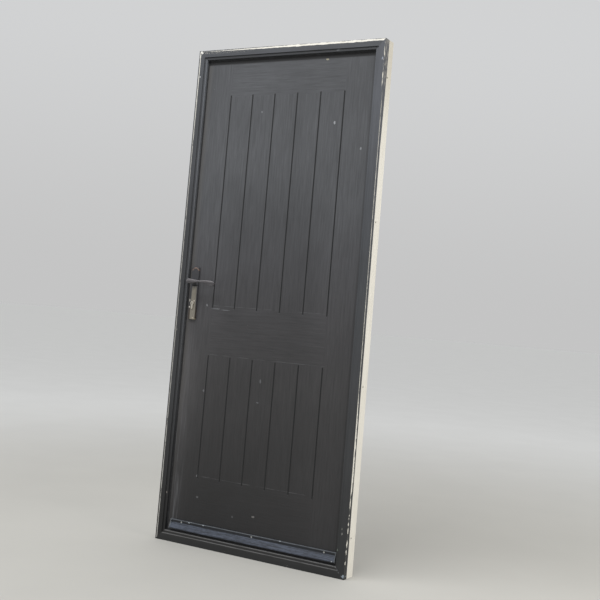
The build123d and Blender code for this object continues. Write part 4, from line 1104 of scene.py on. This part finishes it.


# Plain pale floor: power-floated concrete, nearly even, painted darker near the door as painted shade that
# fades out further off
def paleFloor():
    f = floorFinish
    material, tree, shader, place = startMaterial("pale floated concrete", IOR=1.5, Roughness=0.85)
    away = put(tree, "VectorMath", {0: place}, out=1, operation="LENGTH")
    far = put(tree, "MapRange", {0: away, **limits(f["paintedShadeFade"])}, **smooth)
    clouds = patches(tree, place, f["cloudSize"], detail=5.0)
    clouds = put(tree, "MapRange", {0: clouds, **limits(f["clouds"])})
    tone = put(tree, "Mix", {0: far, 6: linear(f["near"]), 7: linear(f["far"])}, **colours)
    even = put(tree, "VectorMath", {0: tone, "Scale": clouds}, operation="SCALE")
    surface(tree, shader, even, patches(tree, place, f["grain"]), f["grainDepth"])
    return material


far = floorFinish["halfSize"]
floorShape = bmesh.new()
floorCorners = ((-far, -far, 0), (far, -far, 0), (far, far, 0), (-far, far, 0))
floorShape.faces.new([floorShape.verts.new(corner) for corner in floorCorners])
floor = objectFrom(floorShape, "floor")
floor.data.materials.append(paleFloor())

studio = {
    "backdrop": "#f2f3f4",
    "horizon": "#e3e3e3",   # as bright as the far floor, so that no line shows between them
    "horizonHeight": 0.3,
    "strength": 0.72,
    # where each light stands and aims and how large it is in metres, its power in watts and its colour
    "keyLight": ((-0.5, -2.0, 4.4), (0, 0, 1.7), (3.6, 1.6), 120.0, "#f7f9fb"),
    "sideLight": ((4.2, -0.4, 2.4), (0, 0, 1.0), (2.0, 3.0), 70.0, "#fbf8f2"),
}
world = bpy.data.worlds.new("soft studio")
bpy.context.scene.world = world
world.use_nodes = True
air = world.node_tree
air.nodes.clear()
rise = put(air, "SeparateXYZ", {0: put(air, "TexCoord", {}, out="Generated")}, out=2)
rise = put(air, "MapRange", {0: rise, 1: 0.0, 2: studio["horizonHeight"]}, **smooth)
tone = put(air, "Mix", {0: rise, 6: linear(studio["horizon"]), 7: linear(studio["backdrop"])}, **colours)
glow = put(air, "Background", {"Color": tone, "Strength": studio["strength"]})
put(air, "OutputWorld", {"Surface": glow})


def softLight(name):
    place, aim, size, power, tint = studio[name]
    light = bpy.data.lights.new(name, "AREA")
    light.shape = "RECTANGLE"
    light.size, light.size_y = size
    light.energy = power
    light.color = linear(tint)[:3]
    lamp = bpy.data.objects.new(name, light)
    lamp.location = place
    lamp.rotation_euler = (Vector(aim) - Vector(place)).to_track_quat("-Z", "Y").to_euler()
    bpy.context.scene.collection.objects.link(lamp)


softLight("keyLight")
softLight("sideLight")

cameraFit = {
    "place": (2117.09, -3360.61, 984.06),
    "turn": (93.9717, -4.5539, 27.5463),    # with the shift it frames the upright door as the photograph does
    "lens": 57.923,
    "sensor": 36.0,
    "shift": (-0.08098, -0.08110),
}
cameraData = bpy.data.cameras.new("camera")
cameraData.sensor_fit = "HORIZONTAL"
cameraData.sensor_width = cameraFit["sensor"]
cameraData.lens = cameraFit["lens"]
cameraData.shift_x, cameraData.shift_y = cameraFit["shift"]
camera = bpy.data.objects.new("camera", cameraData)
camera.location = Vector(cameraFit["place"]) * mm
camera.rotation_euler = [math.radians(angle) for angle in cameraFit["turn"]]
bpy.context.scene.collection.objects.link(camera)
bpy.context.scene.camera = camera
bpy.context.scene.view_settings.view_transform = "Standard"
print("stage ready")
